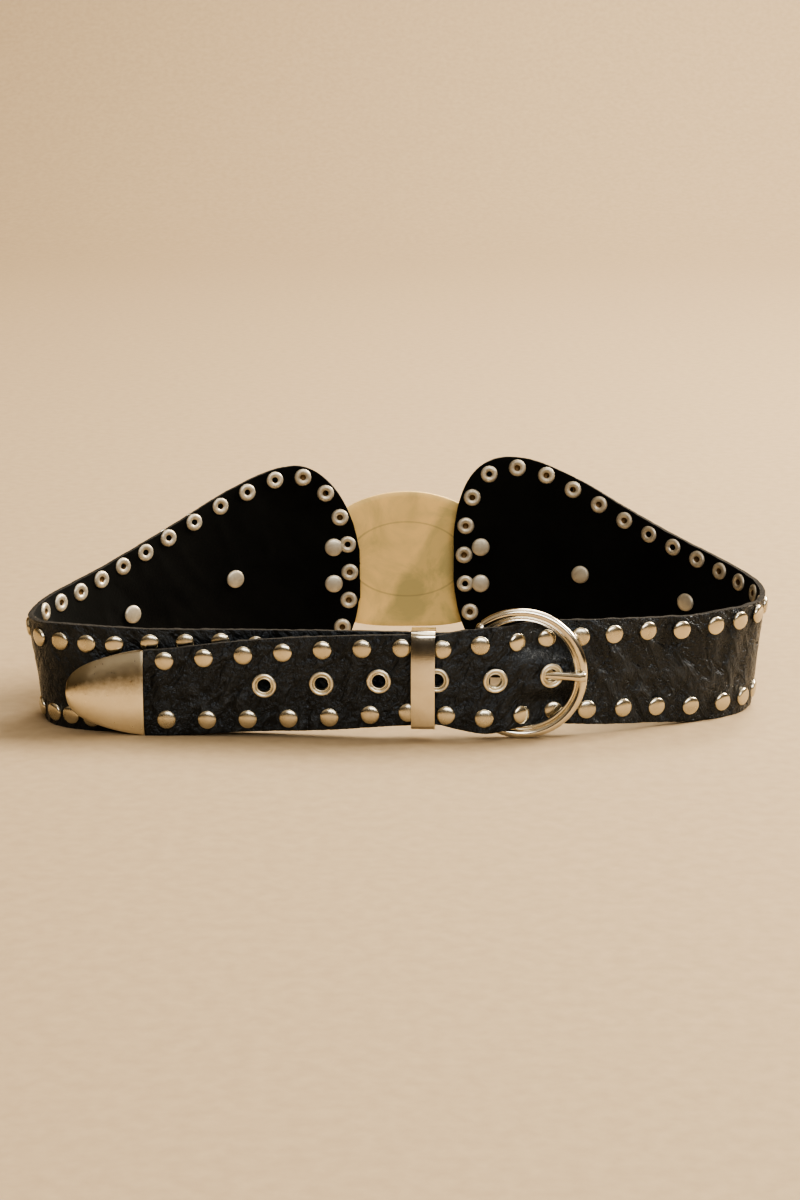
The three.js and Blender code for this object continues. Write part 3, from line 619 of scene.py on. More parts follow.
def grain_leather():
    """Outer face: black and grained, with slanting rubbed creases, glossier and more worn by the buckle."""
    kit = Kit("black_leather_grain")
    strip = kit.mapping((1, 1, 1), source="UV")
    solid = kit.mapping((1, 1, 1))
    fine = kit.cells(solid, 1400)
    pebble = kit.noise(solid, 480, 3, 0.6)
    left = kit.noise(kit.slanted(32, (7, 3.4, 1)), 2.5, 3, 0.5, 0.6)
    right = kit.noise(kit.slanted(-26, (7, 3.4, 1)), 2.3, 3, 0.5, 0.8)
    side = kit.scaled(kit.part(strip, "X"), 0, 1, 1.9, 2.2)
    streak = kit.math("ADD", kit.math("MULTIPLY", left, kit.math("SUBTRACT", 1, side)),
                      kit.math("MULTIPLY", right, side))
    patches = kit.ramp(kit.noise(strip, 3.4, 4, 0.55), [(0.4, 0.0), (0.66, 1.0)])
    crest = kit.ramp(streak, [(0.47, 0.0), (0.505, 1.0), (0.54, 0.25), (0.6, 0.0)])
    worn = kit.math("ADD", kit.math("MULTIPLY", kit.ramp(streak, [(0.5, 0.0), (0.68, 1.0)]), patches),
                    kit.math("MULTIPLY", crest, 0.3))
    scuff = kit.reach(kit.mapping((9, 14, 1), (0, 0, 0), "UV", (-25.6, -5.6, 0)))
    flecks = kit.noise(kit.mapping((12, 60, 1), (0, 0, 0.3), "UV"), 3, 5, 0.7)
    scuff = kit.math("MULTIPLY", kit.ramp(scuff, [(0.1, 1.0), (1.0, 0.0)]),
                     kit.ramp(flecks, [(0.5, 0.0), (0.6, 1.0)]))
    colour = kit.mix(kit.scaled(worn, 0, 0.85), (0.0055, 0.0063, 0.0070), (0.048, 0.052, 0.054))
    colour = kit.mix(kit.scaled(scuff, 0, 0.55), colour, (0.16, 0.15, 0.135))
    matt = kit.math("ADD", kit.math("MULTIPLY", worn, 0.35), kit.math("MULTIPLY", pebble, 0.5))
    rough = kit.math("ADD", kit.scaled(matt, 0.22, 0.42, 0.15, 0.65), kit.scaled(side, 0.08, 0.0))
    grain = kit.bump(kit.scaled(fine, 0, 1, 0, 0.25), 0.5, 0.00014)
    grain = kit.bump(pebble, 1.0, 0.0009, grain)
    grain = kit.bump(streak, 1.0, 0.0034, grain)
    return kit.set(Base_Color=colour, Roughness=rough, Normal=grain, Specular_IOR_Level=0.7,
                   Specular_Tint=(0.80, 0.89, 1.0), Sheen_Weight=0.04, Sheen_Roughness=0.5)


def suede():
    """Inner face: near-black flesh side, matt and fibrous."""
    kit = Kit("suede_inside")
    solid = kit.mapping((1, 1, 1))
    nap = kit.noise(solid, 900, 5, 0.7)
    cloud = kit.noise(solid, 38, 4, 0.6)
    colour = kit.ramp(cloud, [(0.3, (0.0035, 0.0036, 0.0032)), (0.75, (0.009, 0.0095, 0.008))])
    return kit.set(Base_Color=colour, Roughness=kit.scaled(nap, 0.82, 1.0),
                   Normal=kit.bump(nap, 0.5, 0.0004), Specular_IOR_Level=0.12,
                   Sheen_Weight=0.06, Sheen_Roughness=0.6)


def cut_edge():
    """Cut edges: dyed, dry and fuzzy, a little lighter than the faces."""
    kit = Kit("cut_edge_leather")
    solid = kit.mapping((1, 1, 1))
    fibre = kit.noise(solid, 1300, 6, 0.75)
    colour = kit.ramp(fibre, [(0.35, (0.014, 0.013, 0.012)), (0.62, (0.075, 0.07, 0.062)),
                              (0.8, (0.16, 0.15, 0.13))])
    return kit.set(Base_Color=colour, Roughness=0.85, Normal=kit.bump(fibre, 0.8, 0.0006),
                   Specular_IOR_Level=0.25)


def metal(name, light, dark, rough, scale=60.0, wear=0.5, scratch=0.15, pure=1.0):
    """A plated or bare metal with tarnish in patches, fine scratches and uneven polish."""
    kit = Kit(name)
    solid = kit.mapping((1, 1, 1))
    tarnish = kit.ramp(kit.noise(solid, scale, 5, 0.62, 0.4), [(0.38, 0.0), (0.72, 1.0)])
    fine = kit.noise(kit.mapping(*BRUSHED), scale * 14, 3, 0.6)
    colour = kit.mix(kit.scaled(tarnish, 0, wear), light, dark)
    uneven = kit.math("ADD", kit.math("MULTIPLY", tarnish, 0.6), kit.math("MULTIPLY", fine, 0.4))
    roughness = kit.scaled(uneven, rough * 0.75, rough * 1.6)
    return kit.set(Base_Color=colour, Metallic=pure, Roughness=roughness,
                   Normal=kit.bump(fine, scratch, 0.00012))


def tip_metal():
    """The tip: satin metal, its upper half painted dark bronze as a painted dark reflection. Its UV map
    runs round it.
    """
    kit = Kit("satin_tip_metal")
    solid = kit.mapping((1, 1, 1))
    speck = kit.noise(solid, 420, 4, 0.7)
    cloud = kit.noise(solid, 55, 4, 0.6)
    around = kit.part(kit.mapping((1, 1, 1), source="UV"), "X")
    edge = kit.math("ADD", around, kit.scaled(speck, -0.03, 0.03))
    painted_dark_upper = kit.scaled(edge, 1, 0, 0.18, 0.255)
    colour = kit.mix(kit.scaled(cloud, 0, 0.5, 0.35, 0.75), (0.93, 0.86, 0.71), (0.70, 0.61, 0.44))
    # Painted dark reflection: the upper half of the front is mixed towards dark bronze.
    colour = kit.mix(kit.math("MULTIPLY", painted_dark_upper, 0.85), colour, (0.26, 0.20, 0.115))
    return kit.set(Base_Color=colour, Metallic=1.0, Roughness=kit.scaled(speck, 0.2, 0.42),
                   Normal=kit.bump(speck, 0.12, 0.00012))


def prong_metal():
    """The prong: polished where it shows; where it lies behind the tongue it is rougher and painted
    near-black as shade.
    """
    kit = Kit("polished_prong_metal")
    solid = kit.mapping((1, 1, 1))
    cloud = kit.noise(solid, 90, 4, 0.6)
    # Mask of the part behind the tongue, below 46 mm in x: it gets painted shade and more roughness.
    hidden = kit.scaled(kit.part(solid, "X"), 1, 0, 0.046, 0.05)
    colour = kit.mix(kit.scaled(cloud, 0, 0.5, 0.4, 0.8), (0.80, 0.75, 0.64), (0.52, 0.45, 0.33))
    # Painted shade: the part behind the tongue is mixed towards near-black.
    colour = kit.mix(kit.math("MULTIPLY", hidden, 0.96), colour, (0.03, 0.024, 0.017))
    rough = kit.math("ADD", kit.scaled(cloud, 0.1, 0.22), kit.math("MULTIPLY", hidden, 0.2))
    return kit.set(Base_Color=colour, Metallic=1.0, Roughness=rough, Normal=kit.bump(cloud, 0.1, 0.00012))


def plate_brass():
    """The back plate: pale gold with olive tarnish in patches, painted shade darkening it towards its lower
    right, and a thin oval line engraved round its field.
    """
    kit = Kit("aged_brass_plate")
    solid = kit.mapping((1, 1, 1))
    middle = (PLATE_X, 0, PLATE_Z) - BOX_MIDDLE
    across, high = 1 / (LINE_WIDE * MM), 1 / (LINE_HIGH * MM)
    oval = kit.reach(kit.mapping((across, 0, high), (0, 0, 0), "Object",
                                 (-middle[0] * MM * across, 0, -middle[2] * MM * high)))
    line = kit.ramp(kit.scaled(oval, 0, 1, 0, 2), [(0.484, 0.0), (0.492, 1.0), (0.502, 1.0), (0.51, 0.0)])
    cloud = kit.ramp(kit.noise(solid, 46, 5, 0.6, 0.5), [(0.44, 0.0), (0.68, 1.0)])
    # Painted shade: a soft diagonal darkening towards the lower right, added to the tarnish patches.
    painted_diagonal_shade = kit.math("SUBTRACT", kit.part(solid, "X"), kit.math("MULTIPLY", kit.part(solid, "Z"), 0.56))
    painted_diagonal_shade = kit.math("ADD", painted_diagonal_shade, kit.scaled(kit.noise(solid, 60, 4), -0.006, 0.006))
    painted_diagonal_shade = kit.scaled(painted_diagonal_shade, 0, 0.6, -0.024, -0.019)
    cloud = kit.math("ADD", kit.math("MULTIPLY", cloud, 0.6), painted_diagonal_shade)
    fine = kit.noise(kit.mapping(*BRUSHED), 700, 3, 0.6)
    # The olive colour stands for both the tarnish patches and the painted shade.
    colour = kit.mix(kit.scaled(cloud, 0, 0.9), (1.0, 0.73, 0.33), (0.47, 0.40, 0.19))
    colour = kit.mix(kit.scaled(line, 0, 0.3), colour, (0.16, 0.13, 0.08))
    rough = kit.scaled(kit.math("ADD", cloud, fine), 0.42, 0.62, 0.3, 1.6)
    return kit.set(Base_Color=colour, Metallic=0.3, Roughness=rough, Normal=kit.bump(fine, 0.15, 0.00012))


def make_materials():
    return {
        "grain": grain_leather(),
        "suede": suede(),
        "edge": cut_edge(),
        "stud": metal("warm_nickel_caps", (0.70, 0.65, 0.53), (0.44, 0.385, 0.28), 0.22, 90, 0.6),
        "back": metal("dull_nickel_backs", (0.66, 0.61, 0.50), (0.34, 0.29, 0.21), 0.42, 150, 0.8,
                      pure=0.7),
        "hole": metal("brown_rivet_holes", (0.20, 0.13, 0.07), (0.09, 0.06, 0.03), 0.6, 120, 0.7),
        "bright": metal("polished_nickel", (0.80, 0.75, 0.64), (0.52, 0.45, 0.33), 0.14, 50, 0.5, 0.08),
        "rim": metal("satin_eyelet_rims", (0.82, 0.77, 0.64), (0.52, 0.46, 0.34), 0.33, 90, 0.5),
        "tip": tip_metal(),
        "prong": prong_metal(),
        "brass": plate_brass(),
    }


# Leather


def flat_sheet(across, along):
    """A flat square sheet of faces with a UV map, to be bent to shape point by point."""
    deselect()
    bpy.ops.mesh.primitive_grid_add(x_subdivisions=across, y_subdivisions=along, size=2, location=(0, 0, 0))
    piece = bpy.context.object
    return piece, np.array([tuple(point.co) for point in piece.data.vertices])


def in_holes(piece, flat, holes):
    """Which faces of the flat sheet lie in a hole."""
    centres = np.array([np.mean(flat[list(face.vertices)], axis=0) for face in piece.data.polygons])
    cut = np.zeros(len(centres), bool)
    for s, v, radius in holes:
        cut |= np.hypot(centres[:, 0] - s, centres[:, 1] - v) < radius
    return cut


def round_holes(s, v, holes):
    """Draws the points next to each hole onto a true circle."""
    for a, b, radius in holes:
        reach = np.hypot(s - a, v - b)
        near = (reach > 0.01) & (reach < radius + 0.65)
        pull = np.where(near, radius / np.maximum(reach, 0.01), 1.0)
        s, v = a + (s - a) * pull, b + (v - b) * pull
    return s, v


def delete_faces(piece, cut):
    edit(piece)
    bpy.ops.object.mode_set(mode="OBJECT")
    piece.data.polygons.foreach_set("select", cut)
    bpy.ops.object.mode_set(mode="EDIT")
    bpy.ops.mesh.delete(type="FACE")
    bpy.ops.object.mode_set(mode="OBJECT")


def trim(piece, path):
    """Draws bevelled corners back to the flap's last row and up to the floor."""
    ends = lay(path, [path["length"], path["length"] - 1], [0, 0], [0, 0])
    end, before = (Vector(place) for place in ends)
    ahead = (end - before).normalized()
    for point in piece.data.vertices:
        past = ahead.dot(point.co - end)
        if past > 0 and (point.co - end).length < FLAP_REACH:
            point.co -= ahead * past
        point.co.z = max(point.co.z, 0)


def ridge(place, power):
    """Noise that rises to narrow crests."""
    return (1 - min(abs(noise.noise(place)) * 2.4, 1)) ** power


def creases(path, s, v, seed):
    """Relief of the outer face: long soft waves, slanting wrinkles and small dents."""
    x = stations(path, s)[0][:, 0]
    relief = np.zeros(len(s))
    for k, (a, b) in enumerate(zip(s, v)):
        slant = 0.62 if a > 210 else -0.62
        across, along = 0.78 * a + slant * b, 0.78 * b - slant * a
        wide = noise.noise(Vector((a * 0.035, b * 0.05, seed)))
        wave = noise.noise(Vector((across * 0.15, along * 0.03, seed + 7)))
        wrinkle = ridge(Vector((across * 0.11, along * 0.028, seed + 19)), 5)
        small = noise.noise(Vector((a * 0.42 + b * 0.2, b * 0.12, seed + 31)))
        relief[k] = 0.35 * wide + 0.22 * wave - 0.32 * wrinkle + 0.06 * small
    if path is TONGUE:
        front = np.asarray(s) < 340
        for centre, width, depth, slant in FOLDS:
            relief += np.where(front, depth * np.exp(-(((x - centre - slant * v) / width) ** 2)), 0)
    return relief


def strap(name, path, rows, half, thick, holes, seed, materials, node):
    """A strap: a flat sheet, punched, laid on its path, then given its thickness and soft edges."""
    piece, flat = flat_sheet(len(rows) - 1, COLUMNS - 1)
    mesh = piece.data
    row = np.clip(np.rint((flat[:, 0] + 1) / 2 * (len(rows) - 1)).astype(int), 0, len(rows) - 1)
    s = np.asarray(rows)[row]
    below, above = np.asarray(half)[0][row], np.asarray(half)[1][row]
    v = flat[:, 1] * np.where(flat[:, 1] > 0, above, below)
    rag = np.array([noise.noise(Vector((a * 1.1, math.copysign(3, b), seed))) for a, b in zip(s, v)])
    v = v + np.sign(flat[:, 1]) * 0.14 * rag * np.abs(flat[:, 1]) ** 12
    sheet = np.column_stack([s, v, np.zeros(len(s))])
    uv = mesh.uv_layers.active.data
    for corner in mesh.loops:
        a, b = sheet[corner.vertex_index, :2]
        uv[corner.index].uv = (a * 0.01, b * 0.01 + 0.5)
    cut = in_holes(piece, sheet, holes)
    lift = bulge(path, s, v) + creases(path, s, v, seed) * np.clip((s - rows[0]) / 12, 0, 1)
    s, v = round_holes(s, v, holes)
    mesh.vertices.foreach_set("co", lay(path, s, v, lift + thick / 2).ravel())
    mesh.update()
    delete_faces(piece, cut)
    for material in materials:
        mesh.materials.append(material)
    face = mesh.polygons[len(mesh.polygons) // 2]
    nearest = stations(path, s[face.vertices[0]])[2][0]
    if Vector(nearest).dot(face.normal) < 0:
        mesh.flip_normals()
    modify(piece, "SOLIDIFY", thickness=thick * MM, offset=-1, use_even_offset=False, material_offset=1,
           material_offset_rim=2)
    modify(piece, "BEVEL", width=0.3 * MM, segments=2, limit_method="ANGLE", angle_limit=math.radians(60),
           loop_slide=False)
    trim(piece, path)
    return finish_piece(piece, name, materials, "leather", node, angle=50)


def flap_rows(path, start):
    """Stations along a strap: even, then closing up round the flap's end."""
    bend = path["length"] - FLAP_END
    even = np.linspace(start, bend, int((bend - start) / ROW_STEP))
    turn = np.radians(np.linspace(0, 85, 24))[1:]
    return np.concatenate([even, bend + FLAP_END * np.sin(turn)])


def tip_half(s):
    return TIP_HALF * (1 - (1 - np.clip((np.asarray(s) + 0.05) / TIP_LENGTH, 0, 1)) ** 1.25) ** 0.36


def tongue_strap(materials):
    mouth = TIP_LENGTH + GAP
    in_tip = np.linspace(29, mouth - 0.06, 4)
    rows = np.concatenate([in_tip, flap_rows(TONGUE, mouth)])
    narrow = tip_half(rows) - 3 * TIP_WALL
    half = [np.where(rows < mouth, narrow, half_height(TONGUE, rows, 0, side)) for side in (-1, 1)]
    holes = [(s, v, EYELET_CUT) for s, v in eyelet_places()]
    return strap("tongue_leather", TONGUE, rows, half, LEATHER, holes, 11, materials, "tongue_strap")


def buckle_strap(materials):
    rows = flap_rows(BUCKLE, 0)
    half = [half_height(BUCKLE, rows, 0, side) for side in (-1, 1)]
    return strap("buckle_leather", BUCKLE, rows, half, LEATHER, [], 43, materials, "buckle_strap")


# Studs, rivet backs and eyelets


def cap_shape(radius, height, base, sides):
    """A pressed dome cap with a rolled foot, made once and then copied."""
    rows = [(0.0, base), (radius * 0.9, base), (radius, base + 0.25), (radius * 0.985, 0.42)]
    for k in range(1, 6):
        angle = math.radians(90 * k / 5)
        rows.append((radius * 0.97 * math.cos(angle), 0.42 + (height - 0.42) * math.sin(angle)))
    rows[-1] = (0.0, height)
    return turned(rows, sides)


def back_shape(materials):
    """The inside end of a tubular rivet: a rounded ring with a small brown hole in its middle."""
    piece = turned([(0, -0.5), (3.95, -0.5), (4.05, 0.05), (3.75, 0.6), (2.9, 0.95), (2.0, 0.8),
                    (1.35, 0.45), (1.15, 0.1), (0, 0.05)], 16)
    for material in materials:
        piece.data.materials.append(material)
    for face in piece.data.polygons:
        if math.hypot(face.center.x, face.center.y) < 1.3 * MM and face.center.z > 0:
            face.material_index = 1
    return piece


def eyelet_shape():
    """A rolled eyelet: a rounded rim with a step down to its barrel, and a washer inside the strap."""
    half = LEATHER / 2
    profile = []
    for k in range(0, 8):
        angle = math.radians(180 * k / 7)
        profile.append((4.45 + 0.85 * math.cos(angle), half + 0.1 + 0.85 * math.sin(angle)))
    profile += [(3.5, half + 0.2), (3.38, half + 0.42), (3.15, half + 0.5), (2.9, half + 0.4)]
    profile += [(EYELET_HOLE, half), (EYELET_HOLE, -half - 0.25), (EYELET_HOLE + 0.3, -half - 0.5)]
    profile += [(4.6, -half - 0.5), (4.9, -half - 0.3), (4.9, -half + 0.1), (3.2, -half + 0.1)]
    profile += [(3.2, half - 0.1), (EYELET_OUTER - 0.1, half - 0.1)]
    return turned(profile, 40, closed=True)


def studs(path, places, label, materials):
    out = [matrix_at(path, s, v, LEATHER / 2) for s, v in places]
    turn_in = Matrix.Rotation(math.pi, 4, "X")
    inner = [matrix_at(path, s, v, -LEATHER / 2) @ turn_in for s, v in places]
    caps = copies(cap_shape(STUD_RADIUS, STUD_HEIGHT, -0.6, 18), out, f"{label}_studs")
    finish_piece(caps, f"{label}_studs", [materials["stud"]], "nickel", angle=60)
    both = [materials["back"], materials["hole"]]
    backs = copies(back_shape(both), inner, f"{label}_rivet_backs")
    finish_piece(backs, f"{label}_rivet_backs", both, "nickel", angle=60)


def eyelets(materials):
    shape = eyelet_shape()
    for k, (s, v) in enumerate(eyelet_places()):
        piece = shape.copy()
        piece.data = shape.data.copy()
        bpy.context.collection.objects.link(piece)
        piece.data.transform(matrix_at(TONGUE, s, v, 0.0))
        label, node = f"eyelet_ring_{k + 1}", f"eyelet_{k + 1}"
        finish_piece(piece, label, [materials["rim"]], "nickel", node, angle=50)
    bpy.data.objects.remove(shape)


# Metal tip


def metal_tip(material):
    """The pointed end: a domed shell whose nose rounds over and whose mouth takes the leather."""
    piece, flat = flat_sheet(64, 30)
    s = TIP_LENGTH * ((flat[:, 1] + 1) / 2) ** 1.4
    angle = (flat[:, 0] + 1) * math.pi
    side, rise = np.cos(angle), np.sin(angle)
    half = tip_half(s)
    nose = 0.4 + 0.6 * np.clip(s / 10, 0, 1) ** 0.5
    v = np.sign(side) * np.abs(side) ** 0.9 * half
    dome = np.sign(rise) * (0.35 * np.abs(rise) ** 0.35 + 1.15 * rise**2) * nose * TIP_THICK / 2
    dome = dome - np.where(rise > 0, 0.06 * v * np.abs(rise) ** 0.35, 0)
    piece.data.vertices.foreach_set("co", lay(TONGUE, s, v, dome).ravel())
    mouth = lay(TONGUE, [TIP_LENGTH], [0], [0])[0][0]
    close_ends(piece, lambda place: abs(place.x - mouth) > 0.01)
    modify(piece, "SOLIDIFY", thickness=0.7 * MM, offset=-1)
    modify(piece, "BEVEL", width=0.15 * MM, segments=2, limit_method="ANGLE", angle_limit=math.radians(60))
    return finish_piece(piece, "metal_tip", [material], "nickel", "strap_tip", angle=40)


# Buckle


def ring_matrix():
    tilt, lean = math.radians(RING_TILT), math.radians(RING_LEAN)
    along = Vector((math.cos(tilt), math.sin(tilt), 0))
    out = Vector((math.sin(tilt), -math.cos(tilt), 0))
    up = out * math.sin(lean) + Vector((0, 0, math.cos(lean)))
    face = along.cross(up)
    centre = Vector((BAR_X, BAR_Y, RING_CENTRE_Z)) - along * BAR_FROM
    return placed(along, up, face, (centre - Vector(BOX_MIDDLE)) * MM)


def buckle_ring(material):
    """The round frame: a rounded outer roll with a flatter step inside it, closed by its straight bar."""
    roll = RING_RADIUS + RING_TUBE - 1.9
    profile = []
    for k in range(17):
        angle = math.radians(-155 + 310 * k / 16)
        profile.append((roll + 1.9 * math.cos(angle), 1.9 * math.sin(angle)))
    step = [(24.05, 0.5), (23.8, 0.6), (23.5, 1.15), (22.95, 1.3), (22.5, 1.0), (22.35, 0.5)]
    profile += step + [(22.3, 0)] + [(r, -z) for r, z in step[::-1]]
    ring = turned(profile, 128, closed=True)
    edit(ring)
    bpy.ops.mesh.select_all(action="SELECT")
    bpy.ops.mesh.bisect(plane_co=(BAR_FROM * MM, 0, 0), plane_no=(1, 0, 0), use_fill=True, clear_inner=True)
    bpy.ops.object.mode_set(mode="OBJECT")
    reach = math.sqrt(RING_RADIUS**2 - BAR_FROM**2)
    deselect()
    bpy.ops.mesh.primitive_cylinder_add(vertices=28, radius=BAR_RADIUS * MM, depth=2 * reach * MM,
                                        location=(BAR_FROM * MM, 0, 0), rotation=(math.pi / 2, 0, 0))
    bar = bpy.context.object
    corners = []
    for side in (-1, 1):
        deselect()
        bpy.ops.mesh.primitive_uv_sphere_add(segments=28, ring_count=16, radius=RING_TUBE * MM,
                                             location=(BAR_FROM * MM, side * reach * MM, 0))
        corners.append(bpy.context.object)
    for extra in (bar, *corners):
        only(extra)
        bpy.ops.object.transform_apply(location=True, rotation=True, scale=True)
        modify(ring, "BOOLEAN", operation="UNION", object=extra, solver="MANIFOLD")
        bpy.data.objects.remove(extra)
    ring.data.transform(ring_matrix())
    return finish_piece(ring, "round_buckle_frame", [material], "nickel", "buckle_frame", angle=40)


def prong(material):
    """The prong: a flattened finger bent over the frame's far side, with an eye round the bar."""
    steps, around = 22, 16
    rows = []
    for k in range(steps + 1):
        x = 2 + (PRONG_REACH - 2) * k / steps
        y = PRONG_RISE * (x / PRONG_REACH) ** 2 - PRONG_TILT * x - 0.3 * max(x - 41.5, 0) ** 2
        rows.append((x, y, PRONG_RADIUS + PRONG_SWELL * min(max((x - 38) / 3, 0), 1)))
    finger, flat = flat_sheet(around, steps)
    for point, (a, b, _) in zip(finger.data.vertices, flat):
        x, rise, radius = rows[int(round((b + 1) / 2 * steps))]
        angle = (a + 1) * math.pi
        point.co = Vector((x, 1.06 * radius * math.cos(angle), rise + 0.97 * radius * math.sin(angle))) * MM
    close_ends(finger, lambda place: True)
    modify(finger, "BEVEL", width=0.5 * MM, segments=4, limit_method="ANGLE", angle_limit=math.radians(60))
    loop = [(2.15, -2.4), (3.2, -2.4), (3.4, -2.1), (3.4, 2.1), (3.2, 2.4), (2.15, 2.4)]
    eye = turned(loop, 36, closed=True)
    eye.data.transform(Matrix.Rotation(math.pi / 2, 4, "X"))
    modify(finger, "BOOLEAN", operation="UNION", object=eye, solver="MANIFOLD")
    bpy.data.objects.remove(eye)
    shift = Matrix.Translation(Vector((BAR_FROM, EYE_Z - RING_CENTRE_Z, 0)) * MM)
    finger.data.transform(ring_matrix() @ shift)
    return finish_piece(finger, "prong", [material], "nickel", "buckle_prong", angle=40)


def keeper(material):
    """The metal band round both layers: flat, with softly rolled edges and corners."""
    s_out, s_in = s_at_x(TONGUE, KEEPER_X, 120, 180), s_at_x(BUCKLE, KEEPER_X, 50, 100)
    a, up, face, _ = (value[0] for value in stations(TONGUE, s_out))
    b = stations(BUCKLE, s_in)[0][0]
    apart = float(np.dot(a - b, face))
    depth = apart + LEATHER + 1.8 + 0.6 + 2 * KEEPER_BAND
    centre = a + face * (1.8 - 0.6 - apart) / 2
    deselect()
    bpy.ops.mesh.primitive_cube_add(size=1)
    band = bpy.context.object
    band.scale = (KEEPER_WIDTH * MM, KEEPER_HEIGHT * MM, depth * MM)
    bpy.ops.object.transform_apply(scale=True)
    edit(band)
    select_faces(band, lambda place, normal: abs(normal.x) > 0.9)
    bpy.ops.mesh.delete(type="FACE")
    bpy.ops.object.mode_set(mode="OBJECT")
    modify(band, "BEVEL", width=2.3 * MM, segments=6, limit_method="ANGLE", angle_limit=math.radians(60))
    edit(band)
    select_faces(band, lambda place, normal: abs(normal.z) > 0.99)
    bpy.ops.mesh.subdivide(number_cuts=14)
    bpy.ops.object.mode_set(mode="OBJECT")
    for point in band.data.vertices:
        high = point.co.y / (KEEPER_HEIGHT / 2 * MM)
        wide = point.co.x / (KEEPER_WIDTH / 2 * MM)
        if point.co.z > 0:
            point.co.z += (KEEPER_BOW * (1 - high**2) - 0.9 - 0.35 * wide**2) * MM
    modify(band, "SOLIDIFY", thickness=KEEPER_BAND * MM, offset=-1, use_even_offset=True)
    modify(band, "BEVEL", width=0.45 * MM, segments=3, limit_method="ANGLE", angle_limit=math.radians(60))
    along = Vector(np.cross(up, face))
    band.data.transform(placed(along, Vector(up), Vector(face), Vector((centre - BOX_MIDDLE) * MM)))
    return finish_piece(band, "keeper_band", [material], "nickel", "keeper_loop", angle=40)


# Back plate and rivets


def plate_matrix():
    lean = math.radians(PLATE_LEAN)
    along = Vector((-1, 0, 0))
    up = Vector((0, math.sin(lean), math.cos(lean)))
    y = TONGUE_ROWS[-1][1] + LEATHER / 2 + PLATE_LIFT + PLATE_THICK / 2
    place = Vector((PLATE_X, y, PLATE_Z)) - Vector(BOX_MIDDLE)
    return placed(along, up, along.cross(up), place * MM)


def back_plate(material):
    """The oval plate, a little crowned. The line round its field is drawn by the material."""
    deselect()
    bpy.ops.mesh.primitive_cylinder_add(vertices=128, radius=1, depth=2, end_fill_type="NGON")
    plate = bpy.context.object
    edit(plate)
    select_faces(plate, lambda place, normal: abs(normal.z) > 0.9)
    for thickness in (0.08, 0.12, 0.2, 0.2, 0.2, 0.12):
        bpy.ops.mesh.inset(thickness=thickness, use_even_offset=True)
    bpy.ops.object.mode_set(mode="OBJECT")
    for point in plate.data.vertices:
        radius = math.hypot(point.co.x, point.co.y)
        full = PLATE_FULL if point.co.y < 0 else 2
        reach = max(abs(point.co.x)**full + abs(point.co.y)**full, 1e-12) ** (1 / full)
        round_off = max(radius, 1e-6) / reach
        x = PLATE_WIDE * point.co.x * round_off
        crown = 0.35 * (1 - radius**2)
        z = point.co.z * PLATE_THICK / 2 + crown - x**2 / (2 * PLATE_BEND)
        point.co = Vector((x, PLATE_HIGH * point.co.y * round_off, z)) * MM
    modify(plate, "BEVEL", width=0.4 * MM, segments=3, limit_method="ANGLE", angle_limit=math.radians(60))
    plate.data.transform(plate_matrix())
    return finish_piece(plate, "oval_back_plate", [material], "brass", "back_plate", angle=40)


def through_rivet(out_face):
    """A shank with a flat disc on its inside end and a domed cap on the other."""
    inside = -LEATHER / 2 - RIVET_STAND
    rows = [(0.0, inside - 0.95), (RIVET_CAP * 0.7, inside - 0.85), (RIVET_CAP * 0.9, inside - 0.6),
            (RIVET_CAP * 0.98, inside - 0.3)]
    rows += [(RIVET_CAP, inside), (1.7, inside), (1.7, out_face), (RIVET_CAP, out_face)]
    for k in range(0, 5):
        angle = math.radians(90 * k / 5)
        rows.append((RIVET_CAP * 0.97 * math.cos(angle), out_face + 0.4 + 1.2 * math.sin(angle)))
    rows.append((0.0, out_face + 1.6))
    return turned(rows, 32)


def rivets(material):
    rows = [("plate_rivet", plate_rivet_places(), PLATE_LIFT + PLATE_THICK + GAP),
            ("flap_rivet", flap_rivet_places(), RIVET_STAND)]
    for kind, places, stand in rows:
        for k, (path, s, v) in enumerate(places, 1):
            piece = through_rivet(LEATHER / 2 + stand)
            piece.data.transform(matrix_at(path, s, v, 0))
            finish_piece(piece, f"{kind}_caps_{k}", [material], "nickel", f"{kind}_{k}", angle=50)


# Floor, light and camera


def floor():
    """A pale floor that curves up into a plain backdrop far behind the belt."""
    deselect()
    bpy.ops.mesh.primitive_grid_add(x_subdivisions=2, y_subdivisions=FLOOR_ROWS, size=FLOOR_SIZE)
    ground = named(bpy.context.object, "floor")
    for point in ground.data.vertices:
        past = point.co.y - FLOOR_DEPTH
        if past > 0:
            turn = min(past / FLOOR_CURVE, math.pi / 2)
            rest = max(past - FLOOR_CURVE * math.pi / 2, 0)
            point.co.y = FLOOR_DEPTH + FLOOR_CURVE * math.sin(turn)
            point.co.z = FLOOR_CURVE * (1 - math.cos(turn)) + rest
    bpy.ops.object.shade_smooth()
    kit = Kit("pale_floor")
    grain = kit.noise(kit.mapping((1, 1, 1)), 160, 4)
    colour = kit.ramp(grain, [(0.3, (0.42, 0.32, 0.205)), (0.7, (0.46, 0.355, 0.23))])
    material = kit.set(Base_Color=colour, Roughness=0.8, Normal=kit.bump(grain, 0.1, 0.0004))
    ground.data.materials.append(material)


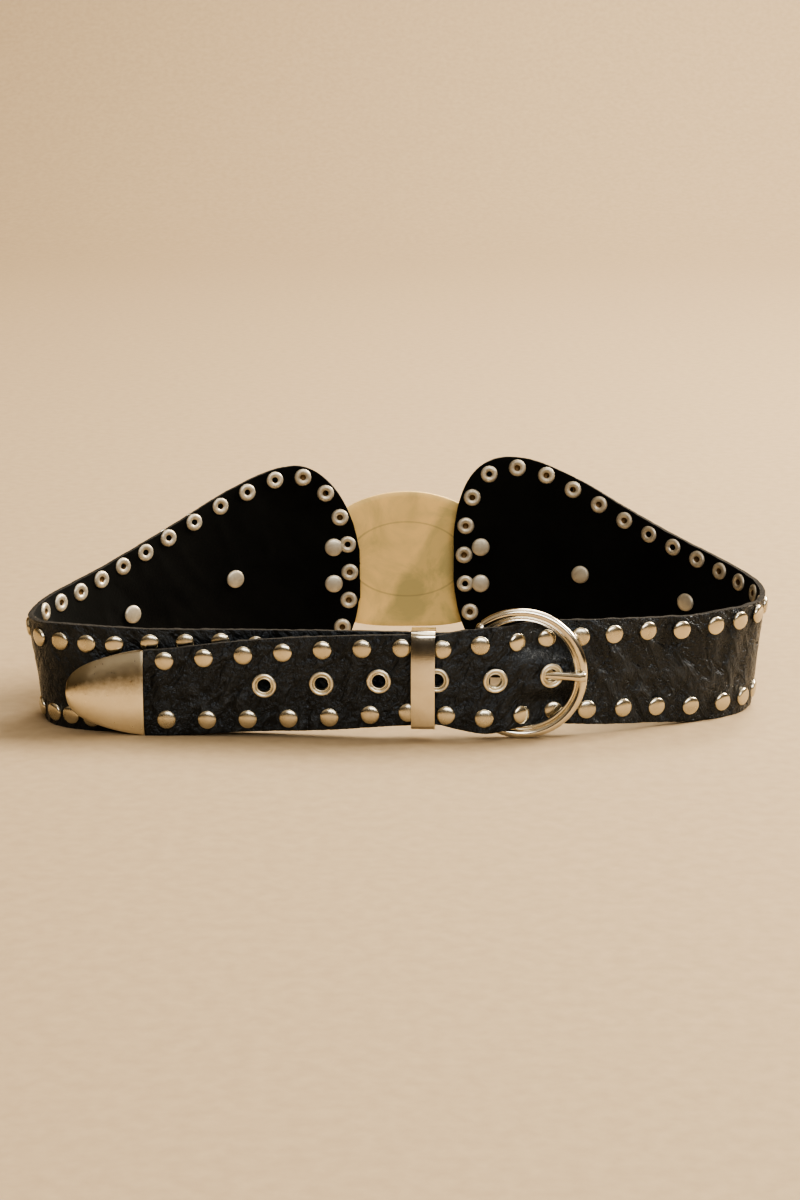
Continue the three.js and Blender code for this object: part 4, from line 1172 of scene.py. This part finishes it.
def area_light(name, place, target, size, power, colour):
    data = bpy.data.lights.new(name, "AREA")
    data.shape, data.size, data.size_y = "RECTANGLE", size[0], size[1]
    data.energy, data.color = power, colour
    lamp = bpy.data.objects.new(name, data)
    bpy.context.collection.objects.link(lamp)
    lamp.location = place
    lamp.rotation_euler = (Vector(target) - Vector(place)).to_track_quat("-Z", "Y").to_euler()


def studio():
    """The room's soft light: dim low down and pale above, so that the metals show a dark band."""
    world = bpy.data.worlds.new("soft_studio")
    bpy.context.scene.world = world
    world.use_nodes = True
    nodes, links = world.node_tree.nodes, world.node_tree.links
    towards = nodes.new("ShaderNodeTexCoord")
    parts = nodes.new("ShaderNodeSeparateXYZ")
    ramp = nodes.new("ShaderNodeValToRGB")
    elements = ramp.color_ramp.elements
    elements.new(0.5)
    for element, (place, colour) in zip(elements, SKY):
        element.position, element.color = place, (*colour, 1)
    links.new(towards.outputs["Generated"], parts.inputs["Vector"])
    links.new(parts.outputs["Z"], ramp.inputs["Fac"])
    links.new(ramp.outputs["Color"], nodes["Background"].inputs["Color"])
    nodes["Background"].inputs["Strength"].default_value = SKY_STRENGTH
    for lamp in LAMPS:
        area_light(*lamp)
    bpy.context.scene.view_settings.look = "AgX - High Contrast"


def camera():
    data = bpy.data.cameras.new("camera")
    data.sensor_width = 36
    data.lens = CAMERA_LENS
    view = bpy.data.objects.new("camera", data)
    bpy.context.collection.objects.link(view)
    target = Vector(CAMERA_TARGET)
    rise = math.radians(CAMERA_RISE)
    view.location = target + CAMERA_AWAY * Vector((0, -math.cos(rise), math.sin(rise)))
    view.rotation_euler = (target - view.location).to_track_quat("-Z", "Y").to_euler()
    bpy.context.scene.camera = view


def main():
    camera()
    studio()
    floor()
    materials = make_materials()
    leather = [materials["grain"], materials["suede"], materials["edge"]]
    tongue_strap(leather)
    buckle_strap(leather)
    studs(TONGUE, stud_places(TONGUE, TONGUE_STUDS, TONGUE_INSET), "tongue", materials)
    studs(BUCKLE, stud_places(BUCKLE, BUCKLE_STUDS, BUCKLE_INSET), "buckle", materials)
    eyelets(materials)
    metal_tip(materials["tip"])
    buckle_ring(materials["bright"])
    prong(materials["prong"])
    keeper(materials["bright"])
    back_plate(materials["brass"])
    rivets(materials["back"])


main()
